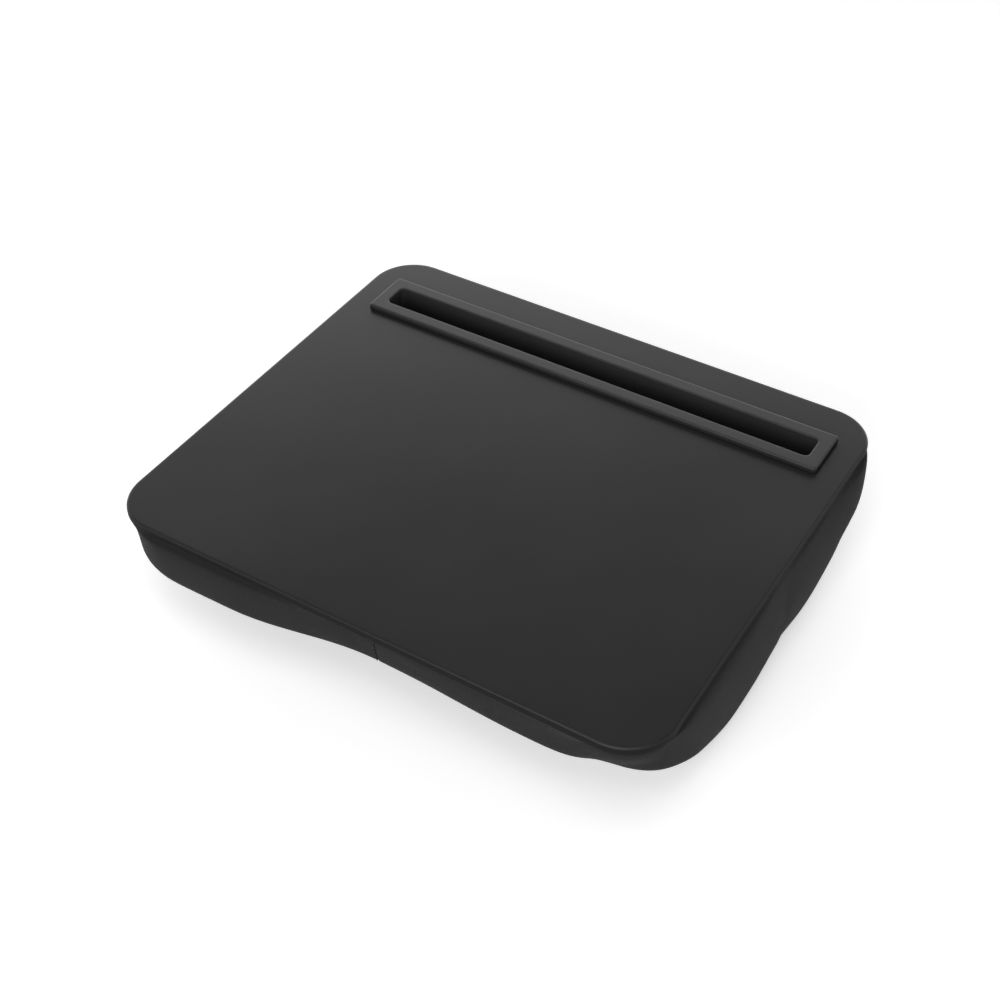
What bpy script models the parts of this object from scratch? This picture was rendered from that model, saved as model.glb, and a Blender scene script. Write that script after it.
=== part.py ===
"""Tablet cushion stand: a moulded board with a drop-in tablet trough, on a two-lobed bead cushion.

Metres, +Z up, +X to the right and +Y to the back as the user sees it. The origin is on the
floor under the middle of the board.
"""

import math

import bmesh
import bpy
from mathutils import Vector

MM = 0.001

# Board
BOARD_WIDTH = 310 * MM
BOARD_DEPTH = 262 * MM
BOARD_CORNER = 25.5 * MM
BOARD_TOP = 56 * MM
BOARD_PLATE = 2.2 * MM
BOARD_RIM_HEIGHT = 3.8 * MM
BOARD_RIM_WALL = 2.2 * MM
BOARD_EDGE_ROUND = 1.3 * MM
RIB_HEIGHT = 1.3 * MM
RIB_WIDTH = 1.6 * MM
COLLAR_MARGIN = 2.5 * MM

# Tablet slot and its trough
SLOT_LENGTH = 264 * MM
SLOT_WIDTH = 15.5 * MM
SLOT_CORNER = 3 * MM
SLOT_DEPTH = 22 * MM
SLOT_FROM_BACK = 31 * MM
FLANGE_BORDER = 7.6 * MM
FLANGE_RISE = 3 * MM
FLANGE_CORNER = 1.8 * MM
FLANGE_ROUND = 0.9 * MM
FLANGE_SKIN = 1.8 * MM
SEAT_DEPTH = 0.6 * MM
TROUGH_WALL = 2 * MM
TROUGH_DRAFT = 0.5
MOUTH_CHAMFER = 0.5 * MM
BARB_LENGTH = 9 * MM
BARB_HEIGHT = 2.4 * MM
BARB_REACH = 1.2 * MM
BARBS_A_SIDE = 4

# Backing panel
PANEL_THICKNESS = 2 * MM
PANEL_CORNER_RELIEF = 2 * MM
WELL_WALL = 1.6 * MM
WELL_CLEARANCE = 0.8 * MM

# Hook and loop strips
STRIP_LENGTH = 105 * MM
STRIP_WIDTH = 25 * MM
STRIP_THICKNESS = 1.3 * MM
STRIP_FROM_MIDDLE = 72 * MM
FRONT_STRIP_FROM_FRONT = 39 * MM
REAR_STRIP_FROM_SLOT = 38 * MM

# Cushion cover
FABRIC = 1 * MM
HEM_INSET = 2.2 * MM
HEM_WIDTH = 12 * MM
HEM_CLEARANCE = 0.9 * MM
RIM_WRAP = 1.2 * MM
SEAM_X = 8 * MM
SEAM_GAP = 0.5 * MM
BASE_SEAM_GAP = 0.4 * MM
SIDE_BULGE = 7.5 * MM
END_BULGE = 5 * MM
FRONT_BULGE_RIGHT = -3 * MM
SEAM_TUCK = 5.5 * MM
CORNER_TUCK = 9 * MM
SIDE_WIDEST = 19.5 * MM
END_WIDEST = 34 * MM
SIDE_FOOT_INSET = 38 * MM
END_FOOT_INSET = 54 * MM
FOOT_CORNER = 70 * MM
VALLEY_RISE = 18 * MM
VALLEY_REACH = 50 * MM
CROWN = 4 * MM
FLAT_CUT = 0.5 * MM
BAND_EDGE_ANGLE = 42.0
BASE_RING_ANGLE = 66.0
SIDE_BLEND_START = 0.67
CORE_SHARE = 0.6

# Cushion filling
BAFFLE = 1 * MM
FILL_CLEARANCE = 4 * MM
FILL_CORNER_SHARE = 1.5

# Clearances
GAP = 0.3 * MM
CUTOUT_CLEARANCE = 0.5 * MM
CUTTER_MARGIN = 5 * MM
SAME_HEIGHT = 0.0001 * MM
MERGE_DISTANCE = 0.01 * MM

# Facets
BOARD_CORNER_STEPS = 10
SMALL_CORNER_STEPS = 4
ROUND_STEPS = 3
END_CELLS = 4
CORNER_CELLS = 4
SIDE_CELLS = 4
SHARP_ANGLE = math.radians(40)

# Heights and places that follow from the sizes above
PLATE_UNDERSIDE = BOARD_TOP - BOARD_PLATE
RIM_BOTTOM = BOARD_TOP - BOARD_RIM_HEIGHT
HOOK_TOP = PLATE_UNDERSIDE - GAP
LOOP_TOP = HOOK_TOP - STRIP_THICKNESS - GAP
PANEL_TOP = LOOP_TOP - STRIP_THICKNESS - GAP
PANEL_UNDERSIDE = PANEL_TOP - PANEL_THICKNESS
HEM_TOP = PANEL_TOP + GAP + FABRIC
WRAP_BOTTOM = PANEL_UNDERSIDE - RIM_WRAP
FLANGE_TOP = BOARD_TOP + FLANGE_RISE
SEAT_HEIGHT = BOARD_TOP - SEAT_DEPTH
SLOT_FLOOR = FLANGE_TOP - SLOT_DEPTH
TROUGH_BOTTOM = SLOT_FLOOR - TROUGH_WALL
WELL_FLOOR = TROUGH_BOTTOM - WELL_CLEARANCE
WELL_BOTTOM = WELL_FLOOR - WELL_WALL
SLOT_Y = BOARD_DEPTH / 2 - SLOT_FROM_BACK - SLOT_WIDTH / 2
TROUGH_LENGTH = SLOT_LENGTH + 2 * TROUGH_WALL
TROUGH_WIDTH = SLOT_WIDTH + 2 * TROUGH_WALL
FLANGE_LENGTH = SLOT_LENGTH + 2 * FLANGE_BORDER
FLANGE_WIDTH = SLOT_WIDTH + 2 * FLANGE_BORDER
CUTOUT_LENGTH = TROUGH_LENGTH + 2 * CUTOUT_CLEARANCE
CUTOUT_WIDTH = TROUGH_WIDTH + 2 * CUTOUT_CLEARANCE
WELL_LENGTH = TROUGH_LENGTH + 2 * WELL_CLEARANCE
WELL_WIDTH = TROUGH_WIDTH + 2 * WELL_CLEARANCE
PANEL_INSET = HEM_INSET + FABRIC + HEM_CLEARANCE
FRONT_STRIP_Y = -BOARD_DEPTH / 2 + FRONT_STRIP_FROM_FRONT
REAR_STRIP_Y = SLOT_Y - TROUGH_WIDTH / 2 - REAR_STRIP_FROM_SLOT

COLOURS = {
    "board_plastic": ((0.030, 0.030, 0.032), 0.34),
    "trough_plastic": ((0.034, 0.034, 0.036), 0.42),
    "panel_plastic": ((0.120, 0.120, 0.125), 0.60),
    "hook_tape": ((0.020, 0.020, 0.020), 0.80),
    "loop_tape": ((0.025, 0.025, 0.027), 0.95),
    "knit_fabric": ((0.032, 0.032, 0.034), 0.92),
    "baffle_cloth": ((0.600, 0.600, 0.580), 0.95),
    "bead_fill": ((0.850, 0.850, 0.830), 0.80),
}


def clear_scene():
    for obj in list(bpy.data.objects):
        bpy.data.objects.remove(obj, do_unlink=True)


def make_collection(name):
    collection = bpy.data.collections.new(name)
    bpy.context.scene.collection.children.link(collection)
    return collection


def make_material(name):
    colour, roughness = COLOURS[name]
    material = bpy.data.materials.new(name)
    material.use_nodes = True
    shader = material.node_tree.nodes["Principled BSDF"]
    shader.inputs["Base Color"].default_value = (*colour, 1)
    shader.inputs["Roughness"].default_value = roughness
    shader.inputs["Metallic"].default_value = 0
    return material


def add_object(name, bm, collection, material=None):
    """Puts a finished bmesh into the scene as its own object."""
    bmesh.ops.recalc_face_normals(bm, faces=bm.faces)
    mesh = bpy.data.meshes.new(name)
    bm.to_mesh(mesh)
    bm.free()
    mesh.shade_smooth()
    mesh.set_sharp_from_angle(angle=SHARP_ANGLE)
    obj = bpy.data.objects.new(name, mesh)
    collection.objects.link(obj)
    if material:
        mesh.materials.append(material)
    else:
        obj.hide_render = True
        obj.display_type = "WIRE"
    return obj


def box_mesh(size, centre):
    bm = bmesh.new()
    bmesh.ops.create_cube(bm, size=1)
    bmesh.ops.scale(bm, vec=size, verts=bm.verts)
    bmesh.ops.translate(bm, vec=centre, verts=bm.verts)
    return bm


def level_edges(bm, height):
    """The edges that lie at this height."""
    return [e for e in bm.edges if all(abs(v.co.z - height) < SAME_HEIGHT for v in e.verts)]


def rounded_box(length, width, low, high, corner, steps, y=0.0, top=0.0, bottom=0.0, draft=0.0):
    """A box with round upright corners, round top and bottom edges and walls that draw in downwards."""
    bm = box_mesh((length, width, high - low), (0, 0, (low + high) / 2))
    upright = [e for e in bm.edges if abs(e.verts[0].co.z - e.verts[1].co.z) > SAME_HEIGHT]
    bmesh.ops.bevel(bm, geom=upright, offset=corner, segments=steps, profile=0.5, affect="EDGES")
    inward = (high - low) * math.tan(math.radians(draft))
    for vert in bm.verts:
        if draft and vert.co.z < (low + high) / 2:
            vert.co.x *= 1 - 2 * inward / length
            vert.co.y *= 1 - 2 * inward / width
    for height, size, count in ((high, top, ROUND_STEPS), (low, bottom, 1)):
        if size:
            edges = level_edges(bm, height)
            bmesh.ops.bevel(bm, geom=edges, offset=size, segments=count, profile=0.5, affect="EDGES")
    bmesh.ops.translate(bm, vec=(0, y, 0), verts=bm.verts)
    return bm


def boolean(obj, other, operation, solver="EXACT"):
    modifier = obj.modifiers.new(f"{operation.lower()} {other.name}", "BOOLEAN")
    modifier.operation = operation
    modifier.object = other
    modifier.solver = solver


def rib_boxes():
    """Size and centre of each stiffening rib under the board's plate, which keep clear of the strips."""
    span_x = BOARD_WIDTH - BOARD_RIM_WALL
    front_row = FRONT_STRIP_Y + STRIP_WIDTH
    rear_row = REAR_STRIP_Y - STRIP_WIDTH
    collar_front = SLOT_Y - CUTOUT_WIDTH / 2 - COLLAR_MARGIN
    collar_back = SLOT_Y + CUTOUT_WIDTH / 2 + COLLAR_MARGIN
    collar_side = CUTOUT_LENGTH / 2 + COLLAR_MARGIN
    height = RIB_HEIGHT + GAP
    z = PLATE_UNDERSIDE - RIB_HEIGHT + height / 2
    ribs = []
    for row in (front_row, (front_row + rear_row) / 2, rear_row, collar_front, collar_back):
        ribs.append(((span_x, RIB_WIDTH, height), (0, row, z)))
    spine_front = -(BOARD_DEPTH - BOARD_RIM_WALL) / 2
    spine = collar_front - spine_front
    ribs.append(((RIB_WIDTH, spine, height), (0, spine_front + spine / 2, z)))
    for share in (-2, -1, 1, 2):
        x = share * span_x / 6
        ribs.append(((RIB_WIDTH, rear_row - front_row, height), (x, (front_row + rear_row) / 2, z)))
    for side in (-1, 1):
        length = collar_back - collar_front
        ribs.append(((RIB_WIDTH, length, height), (side * collar_side, SLOT_Y, z)))
    return ribs


def make_board(parts, cutters, material):
    body = rounded_box(
        BOARD_WIDTH, BOARD_DEPTH, RIM_BOTTOM, BOARD_TOP, BOARD_CORNER, BOARD_CORNER_STEPS,
        top=BOARD_EDGE_ROUND, bottom=GAP,
    )
    board = add_object("top_board", body, parts, material)
    inner = rounded_box(
        BOARD_WIDTH - 2 * BOARD_RIM_WALL, BOARD_DEPTH - 2 * BOARD_RIM_WALL,
        RIM_BOTTOM - CUTTER_MARGIN, PLATE_UNDERSIDE, BOARD_CORNER - BOARD_RIM_WALL, BOARD_CORNER_STEPS,
    )
    hollow = add_object("board_hollow", inner, cutters)
    for index, (size, centre) in enumerate(rib_boxes()):
        rib = add_object(f"board_rib_{index + 1}", box_mesh(size, centre), cutters)
        boolean(hollow, rib, "DIFFERENCE")
    boolean(board, hollow, "DIFFERENCE")
    seat = rounded_box(
        FLANGE_LENGTH + 2 * GAP, FLANGE_WIDTH + 2 * GAP, SEAT_HEIGHT, BOARD_TOP + CUTTER_MARGIN,
        FLANGE_CORNER + GAP, SMALL_CORNER_STEPS, y=SLOT_Y,
    )
    boolean(board, add_object("board_seat", seat, cutters), "DIFFERENCE")
    cutout = rounded_box(
        CUTOUT_LENGTH, CUTOUT_WIDTH, RIM_BOTTOM - CUTTER_MARGIN, BOARD_TOP + CUTTER_MARGIN,
        SLOT_CORNER + TROUGH_WALL + CUTOUT_CLEARANCE, SMALL_CORNER_STEPS, y=SLOT_Y,
    )
    boolean(board, add_object("board_cutout", cutout, cutters), "DIFFERENCE")
    return board


def barb_mesh(x, side):
    """A wedge on the trough's long wall that catches under the board's plate."""
    top = PLATE_UNDERSIDE - GAP
    bm = box_mesh((BARB_LENGTH, BARB_REACH + TROUGH_WALL / 2, BARB_HEIGHT), (0, 0, 0))
    for vert in bm.verts:
        if vert.co.z < 0 and vert.co.y > 0:
            vert.co.y -= BARB_REACH
    reach = TROUGH_WIDTH / 2 + (BARB_REACH - TROUGH_WALL / 2) / 2
    for vert in bm.verts:
        vert.co = Vector((x + vert.co.x, SLOT_Y + side * (reach + vert.co.y), top - BARB_HEIGHT / 2 + vert.co.z))
    return bm


def make_trough(parts, cutters, material):
    flange_low = SEAT_HEIGHT + GAP
    flange = rounded_box(
        FLANGE_LENGTH, FLANGE_WIDTH, flange_low, FLANGE_TOP, FLANGE_CORNER, SMALL_CORNER_STEPS,
        y=SLOT_Y, top=FLANGE_ROUND,
    )
    trough = add_object("slot_trough", flange, parts, material)
    core = rounded_box(
        FLANGE_LENGTH - 2 * FLANGE_SKIN, FLANGE_WIDTH - 2 * FLANGE_SKIN, flange_low - CUTTER_MARGIN,
        FLANGE_TOP - FLANGE_SKIN, FLANGE_CORNER, SMALL_CORNER_STEPS, y=SLOT_Y,
    )
    boolean(trough, add_object("flange_core", core, cutters), "DIFFERENCE")
    walls = rounded_box(
        TROUGH_LENGTH, TROUGH_WIDTH, TROUGH_BOTTOM, FLANGE_TOP - FLANGE_SKIN / 2,
        SLOT_CORNER + TROUGH_WALL, SMALL_CORNER_STEPS, y=SLOT_Y, bottom=TROUGH_WALL / 2, draft=TROUGH_DRAFT,
    )
    boolean(trough, add_object("trough_walls", walls, cutters), "UNION")
    pitch = SLOT_LENGTH / BARBS_A_SIDE
    for side in (-1, 1):
        for index in range(BARBS_A_SIDE):
            x = (index - (BARBS_A_SIDE - 1) / 2) * pitch
            barb = add_object(f"trough_barb_{side}_{index + 1}", barb_mesh(x, side), cutters)
            boolean(trough, barb, "UNION")
    cavity = rounded_box(
        SLOT_LENGTH, SLOT_WIDTH, SLOT_FLOOR, FLANGE_TOP, SLOT_CORNER, SMALL_CORNER_STEPS, y=SLOT_Y,
        bottom=TROUGH_WALL / 2, draft=TROUGH_DRAFT,
    )
    top = [v for v in cavity.verts if abs(v.co.z - FLANGE_TOP) < SAME_HEIGHT]
    bmesh.ops.translate(cavity, vec=(0, 0, MOUTH_CHAMFER), verts=top)
    boolean(trough, add_object("trough_cavity", cavity, cutters), "DIFFERENCE")
    mouth = rounded_box(
        SLOT_LENGTH + 4 * MOUTH_CHAMFER, SLOT_WIDTH + 4 * MOUTH_CHAMFER, FLANGE_TOP - MOUTH_CHAMFER,
        FLANGE_TOP + MOUTH_CHAMFER, SLOT_CORNER + 2 * MOUTH_CHAMFER, SMALL_CORNER_STEPS, y=SLOT_Y, draft=45,
    )
    boolean(trough, add_object("trough_mouth", mouth, cutters), "DIFFERENCE")
    return trough


def make_panel(parts, cutters, material):
    corner = BOARD_CORNER - PANEL_INSET + PANEL_CORNER_RELIEF
    plate = rounded_box(
        BOARD_WIDTH - 2 * PANEL_INSET, BOARD_DEPTH - 2 * PANEL_INSET, PANEL_UNDERSIDE, PANEL_TOP,
        corner, BOARD_CORNER_STEPS,
    )
    panel = add_object("backing_panel", plate, parts, material)
    well_corner = SLOT_CORNER + TROUGH_WALL + WELL_CLEARANCE
    outside = rounded_box(
        WELL_LENGTH + 2 * WELL_WALL, WELL_WIDTH + 2 * WELL_WALL, WELL_BOTTOM, PANEL_TOP - PANEL_THICKNESS / 2,
        well_corner + WELL_WALL, SMALL_CORNER_STEPS, y=SLOT_Y, bottom=WELL_WALL / 2,
    )
    boolean(panel, add_object("well_walls", outside, cutters), "UNION")
    inside = rounded_box(
        WELL_LENGTH, WELL_WIDTH, WELL_FLOOR, PANEL_TOP + CUTTER_MARGIN, well_corner, SMALL_CORNER_STEPS,
        y=SLOT_Y,
    )
    boolean(panel, add_object("well_cavity", inside, cutters), "DIFFERENCE")
    return panel


def make_strips(parts, hook_material, loop_material):
    """Four hook strips under the board, and the loop strips on the panel that they grip."""
    places = [(side * STRIP_FROM_MIDDLE, y) for y in (FRONT_STRIP_Y, REAR_STRIP_Y) for side in (-1, 1)]
    for index, (x, y) in enumerate(places):
        for kind, top, material in (("hook", HOOK_TOP, hook_material), ("loop", LOOP_TOP, loop_material)):
            centre = (x, y, top - STRIP_THICKNESS / 2)
            strip = box_mesh((STRIP_LENGTH, STRIP_WIDTH, STRIP_THICKNESS), centre)
            add_object(f"{kind}_strip_{index + 1}", strip, parts, material)


def smooth_step(low, high, value):
    share = min(max((value - low) / (high - low), 0), 1)
    return share * share * (3 - 2 * share)


def half_outline(side, half_x, half_y, corner, start):
    """Points and outward directions round one half of a rounded rectangle, front seam to back seam."""
    points = []
    straight = half_x - corner
    for index in range(END_CELLS):
        x = start + (straight - start) * index / END_CELLS
        points.append((side * x, -half_y, 0, -1))
    for index in range(CORNER_CELLS):
        turn = math.pi / 2 * index / CORNER_CELLS
        nx, ny = math.sin(turn), -math.cos(turn)
        points.append((side * (straight + corner * nx), -half_y + corner + corner * ny, side * nx, ny))
    for index in range(SIDE_CELLS + 1):
        y = (2 * index / SIDE_CELLS - 1) * (half_y - corner)
        points.append((side * half_x, y, side, 0))
    for index in range(1, CORNER_CELLS):
        turn = math.pi / 2 * index / CORNER_CELLS
        nx, ny = math.cos(turn), math.sin(turn)
        points.append((side * (straight + corner * nx), half_y - corner + corner * ny, side * nx, ny))
    for index in range(END_CELLS + 1):
        x = straight + (start - straight) * index / END_CELLS
        points.append((side * x, half_y, 0, 1))
    return points


def wall_shape(side, x, y, tuck):
    """How far the widest line stands out of the board's edge at this place, and its height."""
    end = smooth_step(SIDE_BLEND_START, 1, abs(y) / (BOARD_DEPTH / 2))
    reach = min(abs(x - SEAM_X) / VALLEY_REACH, 1)
    lobe_bulge = FRONT_BULGE_RIGHT if side > 0 and y < 0 else END_BULGE
    end_bulge = lobe_bulge * reach - SEAM_TUCK * (1 - reach)
    corner = end * smooth_step(SIDE_BLEND_START, 1, abs(x) / (BOARD_WIDTH / 2))
    bulge = SIDE_BULGE + (end_bulge - SIDE_BULGE) * end - tuck * corner
    widest = SIDE_WIDEST + (END_WIDEST - SIDE_WIDEST) * end
    return bulge, widest


def base_height(x, y):
    """The lobes' underside: a valley along the seam and a shallow crown towards each lobe's edges."""
    distance = abs(x - SEAM_X)
    valley = VALLEY_RISE * max(1 - distance / VALLEY_REACH, 0) ** 2
    lobe = (BOARD_WIDTH / 2 - SIDE_FOOT_INSET) / 2
    across = (abs(x - SEAM_X) - lobe) / lobe
    along = y / (BOARD_DEPTH / 2 - END_FOOT_INSET)
    return valley + CROWN * (0.5 * across * across + 0.5 * along * along) - FLAT_CUT


class CushionCage:
    """The coarse cage of one lobe. Its rings run round the wall from the hem to the foot."""

    def __init__(self, side, inset, seam_space):
        self.side = side
        self.inset = inset
        self.tuck = CORNER_TUCK + inset * FILL_CORNER_SHARE
        start = side * SEAM_X + seam_space
        self.edge = half_outline(side, BOARD_WIDTH / 2, BOARD_DEPTH / 2, BOARD_CORNER, start)
        foot_x = BOARD_WIDTH / 2 - SIDE_FOOT_INSET - inset
        foot_y = BOARD_DEPTH / 2 - END_FOOT_INSET - inset
        self.foot = half_outline(side, foot_x, foot_y, FOOT_CORNER, start)
        self.last = len(self.edge) - 1

    def hem_ring(self, inset, height):
        return [Vector((x - nx * inset, y - ny * inset, height)) for x, y, nx, ny in self.edge]

    def upper_ring(self, share):
        """A ring between the foot of the panel's rim, share 0, and the widest line, share 1."""
        ring = []
        for x, y, nx, ny in self.edge:
            bulge, widest = wall_shape(self.side, x, y, self.tuck)
            out = -HEM_INSET + (bulge + HEM_INSET) * math.sin(share * math.pi / 2) - self.inset
            height = WRAP_BOTTOM + (widest - WRAP_BOTTOM) * share
            ring.append(Vector((x + nx * out, y + ny * out, height)))
        return ring

    def lower_ring(self, angle):
        """A ring between the widest line, angle 0, and the foot, angle 90, along a quarter ellipse."""
        turn = math.radians(angle)
        ring = []
        for wide, foot in zip(self.upper_ring(1), self.foot_ring()):
            point = foot + (wide - foot) * math.cos(turn)
            point.z = foot.z + (wide.z - foot.z) * (1 - math.sin(turn))
            ring.append(point)
        return ring

    def foot_ring(self):
        return [Vector((x, y, base_height(x, y) + self.inset)) for x, y, nx, ny in self.foot]

    def base_patch(self):
        """Rows of points that fill the foot ring from front to back, the first point on the seam."""
        ring = self.foot_ring()
        across = END_CELLS + CORNER_CELLS // 2
        along = SIDE_CELLS + CORNER_CELLS
        front, back = ring[: across + 1], ring[self.last - across:][::-1]
        outer = ring[across: across + along + 1]
        rows = []
        for j in range(along + 1):
            v = j / along
            seam = front[0].lerp(back[0], v)
            row = []
            for i in range(across + 1):
                u = i / across
                ends = front[i].lerp(back[i], v) - front[0].lerp(back[0], v).lerp(front[-1].lerp(back[-1], v), u)
                point = seam.lerp(outer[j], u) + ends
                on_ring = j in (0, along) or i == across
                height = point.z if on_ring else base_height(point.x, point.y) + self.inset
                row.append(Vector((point.x, point.y, height)))
            rows.append(row)
        return rows


def held_out(rows, creased=(), foot=False):
    """The same rows, each point set out by what the smoothing will pull it in. A foot row stays."""
    result = [[point.copy() for point in row] for row in rows]
    last = len(rows) - 1
    for r, row in enumerate(rows[:last] if foot else rows):
        for c in range(1, len(row) - 1):
            result[r][c] += (2 * row[c] - row[c - 1] - row[c + 1]) / 8
        if 0 < r < last and r not in creased:
            for c, point in enumerate(row):
                result[r][c] += (2 * point - rows[r - 1][c] - rows[r + 1][c]) / 8
    return result


def add_rows(bm, rows, creased=()):
    """Joins rows of points with quads. Rows named in creased stay sharp when the cage is smoothed."""
    crease = bm.edges.layers.float.get("crease_edge") or bm.edges.layers.float.new("crease_edge")
    grid = [[bm.verts.new(point) for point in row] for row in rows]
    for upper, lower in zip(grid, grid[1:]):
        for a, b, c, d in zip(upper, upper[1:], lower[1:], lower):
            bm.faces.new((a, b, c, d))
    for index in creased:
        for a, b in zip(grid[index], grid[index][1:]):
            bm.edges.get((a, b))[crease] = 1


def orient(bm, outside):
    """Turns an open sheet so that its faces point the way outside says."""
    bmesh.ops.recalc_face_normals(bm, faces=bm.faces)
    bm.faces.ensure_lookup_table()
    lean = sum(face.normal.dot(outside(face.calc_center_median())) * face.calc_area() for face in bm.faces)
    if lean < 0:
        bmesh.ops.reverse_faces(bm, faces=bm.faces)


def from_core(point):
    """Outwards from the board's underside, more steeply for a point lower down."""
    return point - Vector((point.x * CORE_SHARE, point.y * CORE_SHARE, BOARD_TOP))


def cover_panel(name, rows_list, parts, material, creased=()):
    """A fabric panel: an open cage, smoothed and given the fabric's thickness inwards."""
    bm = bmesh.new()
    for rows in rows_list:
        add_rows(bm, rows, creased)
    bmesh.ops.remove_doubles(bm, verts=bm.verts, dist=MERGE_DISTANCE)
    orient(bm, from_core)
    mesh = bpy.data.meshes.new(name)
    bm.to_mesh(mesh)
    bm.free()
    mesh.shade_smooth()
    mesh.materials.append(material)
    panel = bpy.data.objects.new(name, mesh)
    parts.objects.link(panel)
    smooth = panel.modifiers.new("smooth", "SUBSURF")
    smooth.levels = 1
    smooth.render_levels = 1
    smooth.boundary_smooth = "PRESERVE_CORNERS"
    wall = panel.modifiers.new("fabric", "SOLIDIFY")
    wall.thickness = FABRIC
    wall.offset = -1
    return panel


def make_cover(parts, cutters, material):
    ground = box_mesh((2 * BOARD_WIDTH, 2 * BOARD_DEPTH, 2 * CUTTER_MARGIN), (0, 0, -CUTTER_MARGIN))
    ground = add_object("ground_cut", ground, cutters)
    for side, word in ((-1, "left"), (1, "right")):
        cage = CushionCage(side, 0, SEAM_GAP / 2)
        band = [
            cage.hem_ring(HEM_INSET + HEM_WIDTH, HEM_TOP),
            cage.hem_ring(HEM_INSET, HEM_TOP),
            cage.upper_ring(0),
            cage.upper_ring(0.5),
            cage.upper_ring(1),
            cage.lower_ring(BAND_EDGE_ANGLE),
        ]
        creased = (1, 2)
        cover_panel(f"cover_band_{word}", [held_out(band, creased)], parts, material, creased)
        gap_angle = math.degrees(BASE_SEAM_GAP / SIDE_WIDEST)
        wall = [cage.lower_ring(BAND_EDGE_ANGLE + gap_angle), cage.lower_ring(BASE_RING_ANGLE), cage.foot_ring()]
        rows_list = [held_out(wall, foot=True), cage.base_patch()]
        base = cover_panel(f"cover_base_{word}", rows_list, parts, material)
        boolean(base, ground, "DIFFERENCE")


def lobe_form(cutters):
    """The space inside the cover, as one closed form with both lobes."""
    bm = bmesh.new()
    lid = BOARD_TOP + CUTTER_MARGIN
    for side in (-1, 1):
        cage = CushionCage(side, FILL_CLEARANCE, 0)
        top = cage.hem_ring(HEM_INSET + FILL_CLEARANCE, lid)
        wall = [top, cage.upper_ring(0), cage.upper_ring(0.5), cage.upper_ring(1)]
        wall += [cage.lower_ring(BAND_EDGE_ANGLE), cage.lower_ring(BASE_RING_ANGLE), cage.foot_ring()]
        add_rows(bm, wall)
        add_rows(bm, cage.base_patch())
    bmesh.ops.remove_doubles(bm, verts=bm.verts, dist=MERGE_DISTANCE)
    rim = [e for e in bm.edges if e.is_boundary]
    bmesh.ops.holes_fill(bm, edges=rim, sides=0)
    return add_object("lobe_form", bm, cutters)


def make_filling(parts, cutters, fill_material, baffle_material):
    """Cuts the beads of each lobe, and the baffle between them, out of the space inside the cover."""
    form = lobe_form(cutters)
    groove = rounded_box(
        WELL_LENGTH + 2 * (WELL_WALL + GAP), WELL_WIDTH + 2 * (WELL_WALL + GAP), WELL_BOTTOM - GAP,
        BOARD_TOP, SLOT_CORNER + TROUGH_WALL + WELL_CLEARANCE + WELL_WALL + GAP, SMALL_CORNER_STEPS, y=SLOT_Y,
    )
    groove = add_object("fill_groove", groove, cutters)
    top = PANEL_UNDERSIDE - GAP
    reach = BOARD_WIDTH
    near = BAFFLE / 2 + GAP
    chambers = (
        ("bead_fill_left", SEAM_X - near - reach, SEAM_X - near, fill_material),
        ("centre_baffle", SEAM_X - BAFFLE / 2, SEAM_X + BAFFLE / 2, baffle_material),
        ("bead_fill_right", SEAM_X + near, SEAM_X + near + reach, fill_material),
    )
    for name, low, high, material in chambers:
        size = (high - low, 2 * BOARD_DEPTH, top + CUTTER_MARGIN)
        centre = ((low + high) / 2, 0, (top - CUTTER_MARGIN) / 2)
        chamber = add_object(name, box_mesh(size, centre), parts, material)
        boolean(chamber, form, "INTERSECT", "MANIFOLD")
        boolean(chamber, groove, "DIFFERENCE", "MANIFOLD")


def main():
    clear_scene()
    parts = make_collection("tablet_cushion_stand")
    cutters = make_collection("cutters")
    materials = {name: make_material(name) for name in COLOURS}
    make_board(parts, cutters, materials["board_plastic"])
    make_trough(parts, cutters, materials["trough_plastic"])
    make_panel(parts, cutters, materials["panel_plastic"])
    make_strips(parts, materials["hook_tape"], materials["loop_tape"])
    make_cover(parts, cutters, materials["knit_fabric"])
    make_filling(parts, cutters, materials["bead_fill"], materials["baffle_cloth"])


main()
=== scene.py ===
"""Tablet cushion stand: a smooth lap board with a flanged tablet slot, on a two-lobed bead cushion.

Laid out as an add-on and run as a script. Each operator makes one piece, or a group of like
pieces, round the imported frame. Metres, +X to the user's right, +Y to the back, +Z up.
"""

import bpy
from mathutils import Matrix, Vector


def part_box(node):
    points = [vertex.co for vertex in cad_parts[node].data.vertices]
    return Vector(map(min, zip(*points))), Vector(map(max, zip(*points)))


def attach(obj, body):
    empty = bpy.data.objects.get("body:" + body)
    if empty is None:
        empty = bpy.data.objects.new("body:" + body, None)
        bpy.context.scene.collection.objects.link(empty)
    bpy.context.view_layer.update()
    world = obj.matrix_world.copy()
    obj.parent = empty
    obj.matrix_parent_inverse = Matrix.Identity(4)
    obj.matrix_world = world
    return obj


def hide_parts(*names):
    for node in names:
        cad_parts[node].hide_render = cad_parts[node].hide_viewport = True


bl_info = {
    "name": "Tablet Cushion Stand",
    "version": (1, 0, 0),
    "blender": (4, 5, 0),
    "location": "3D View > Sidebar > Cushion Stand",
    "description": "Makes a lap stand for a tablet: a slotted board on a two-lobed bead cushion",
    "category": "Object",
}

import math

import bpy
import bmesh
import numpy as np
from bpy.props import FloatProperty, FloatVectorProperty, IntProperty, PointerProperty
from mathutils import Matrix, Vector

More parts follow.
